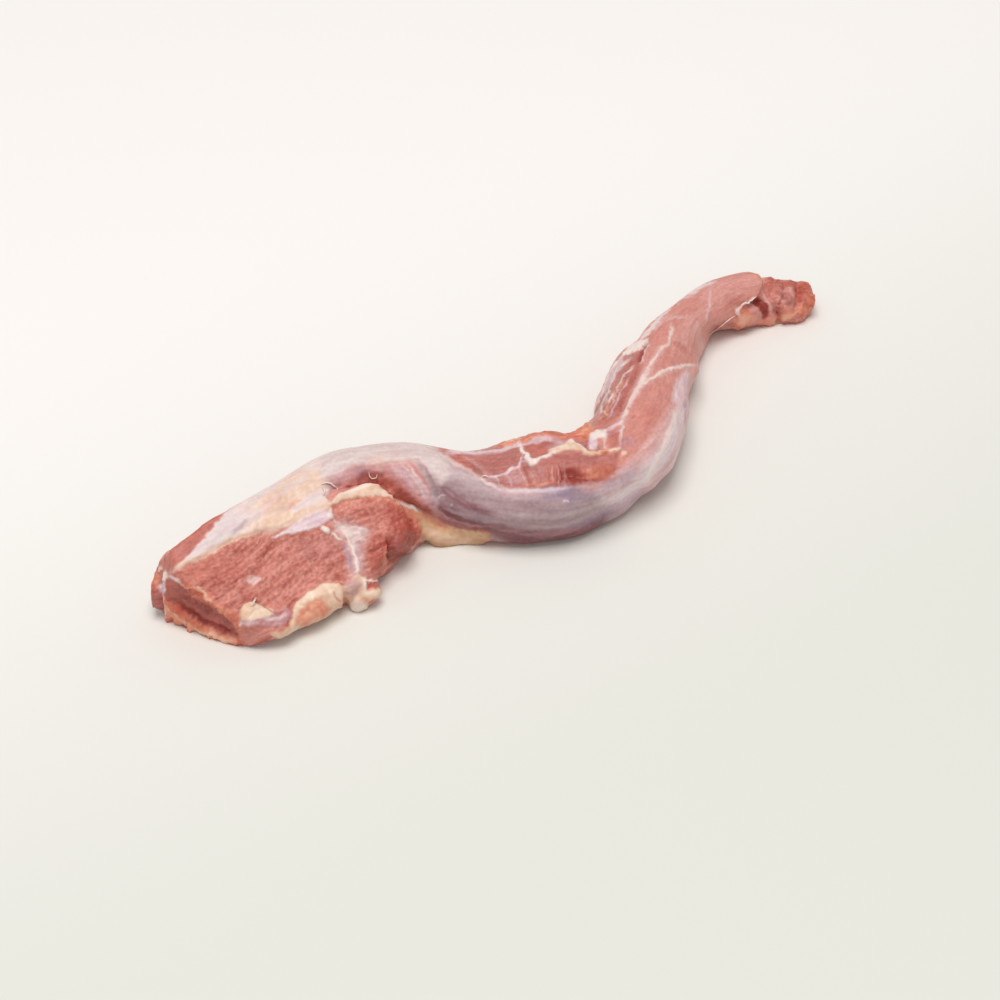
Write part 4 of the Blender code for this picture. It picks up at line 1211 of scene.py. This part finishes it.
# Connective tissue: wet collagen, milky white and slightly see-through, pinker where it is thin.
CLOUDING_SIZE = 2.5 * MM
gristle = bpy.data.materials.new("wet_white_collagen")
gristle.use_nodes = True
shader = gristle.node_tree.nodes["Principled BSDF"]
spot = add(gristle, "ShaderNodeTexCoord").outputs["Object"]
cloudy = add(gristle, "ShaderNodeTexNoise", {"Vector": spot, "Scale": 1 / CLOUDING_SIZE, "Detail": 3.0})
milk = add(gristle, "ShaderNodeMix", {MIX_FACTOR: cloudy.outputs["Fac"], MIX_A: colour("#f3e6de"),
                                      MIX_B: colour("#e3c2b8")}, data_type="RGBA")
gristle.node_tree.links.new(milk.outputs[MIX_OUT], shader.inputs["Base Color"])
shader.inputs["Roughness"].default_value = 0.4
shader.inputs["Subsurface Weight"].default_value = 0.3
shader.inputs["Subsurface Scale"].default_value = 0.8 * MM
threads.data.materials.append(gristle)
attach(threads, "root")

# The table: a plain sheet of paper, warm white at the far left. Its colour fades to a greener grey
# towards the near right corner, painted shade that stands for the light falling off.
TABLE_SIDE = 4
FADE_ALONG = Vector((364, -597, 0)).normalized()
FADE_START = -0.15
FADE_END = 0.143
FAR_PAPER = "#f6f2ef"
NEAR_PAPER_IN_PAINTED_SHADE = "#e1e1d9"
bpy.ops.mesh.primitive_plane_add(size=TABLE_SIDE, location=(0, 0, 0))
table = bpy.context.object
table.name = "table"
paper = bpy.data.materials.new("matt_white_paper")
paper.use_nodes = True
shader = paper.node_tree.nodes["Principled BSDF"]
spot = add(paper, "ShaderNodeTexCoord").outputs["Object"]
towards = add(paper, "ShaderNodeVectorMath", {0: spot, 1: FADE_ALONG}, operation="DOT_PRODUCT")
painted_falloff = add(paper, "ShaderNodeMapRange", {"Value": towards.outputs["Value"], "From Min": FADE_START,
                                         "From Max": FADE_END}, interpolation_type="SMOOTHSTEP")
sheet = add(paper, "ShaderNodeMix", {MIX_FACTOR: painted_falloff.outputs["Result"], MIX_A: colour(FAR_PAPER),
                                     MIX_B: colour(NEAR_PAPER_IN_PAINTED_SHADE)}, data_type="RGBA")
paper.node_tree.links.new(sheet.outputs[MIX_OUT], shader.inputs["Base Color"])
shader.inputs["Roughness"].default_value = 0.9
shader.inputs["Specular IOR Level"].default_value = 0.1
table.data.materials.append(paper)

# The light: a wide soft box high behind the camera, and an even glow from the white room.
SOFTBOX_PLACE = (-0.1, -0.3, 1.76)
SOFTBOX_SIDE = 1.0
SOFTBOX_WATTS = 20.8
ROOM_GLOW = 0.495
bpy.ops.object.light_add(type="AREA", location=SOFTBOX_PLACE)
softbox = bpy.context.object
softbox.rotation_mode = "QUATERNION"
softbox.rotation_quaternion = (AIM - softbox.location).to_track_quat("-Z", "Y")
softbox.data.size = SOFTBOX_SIDE
softbox.data.energy = SOFTBOX_WATTS
softbox.data.color = (1, 0.99, 0.98)
room = bpy.data.worlds.new("white_room")
bpy.context.scene.world = room
room.use_nodes = True
room.node_tree.nodes["Background"].inputs["Color"].default_value = (1, 0.995, 0.99, 1)
room.node_tree.nodes["Background"].inputs["Strength"].default_value = ROOM_GLOW
bpy.context.scene.view_settings.view_transform = "Standard"
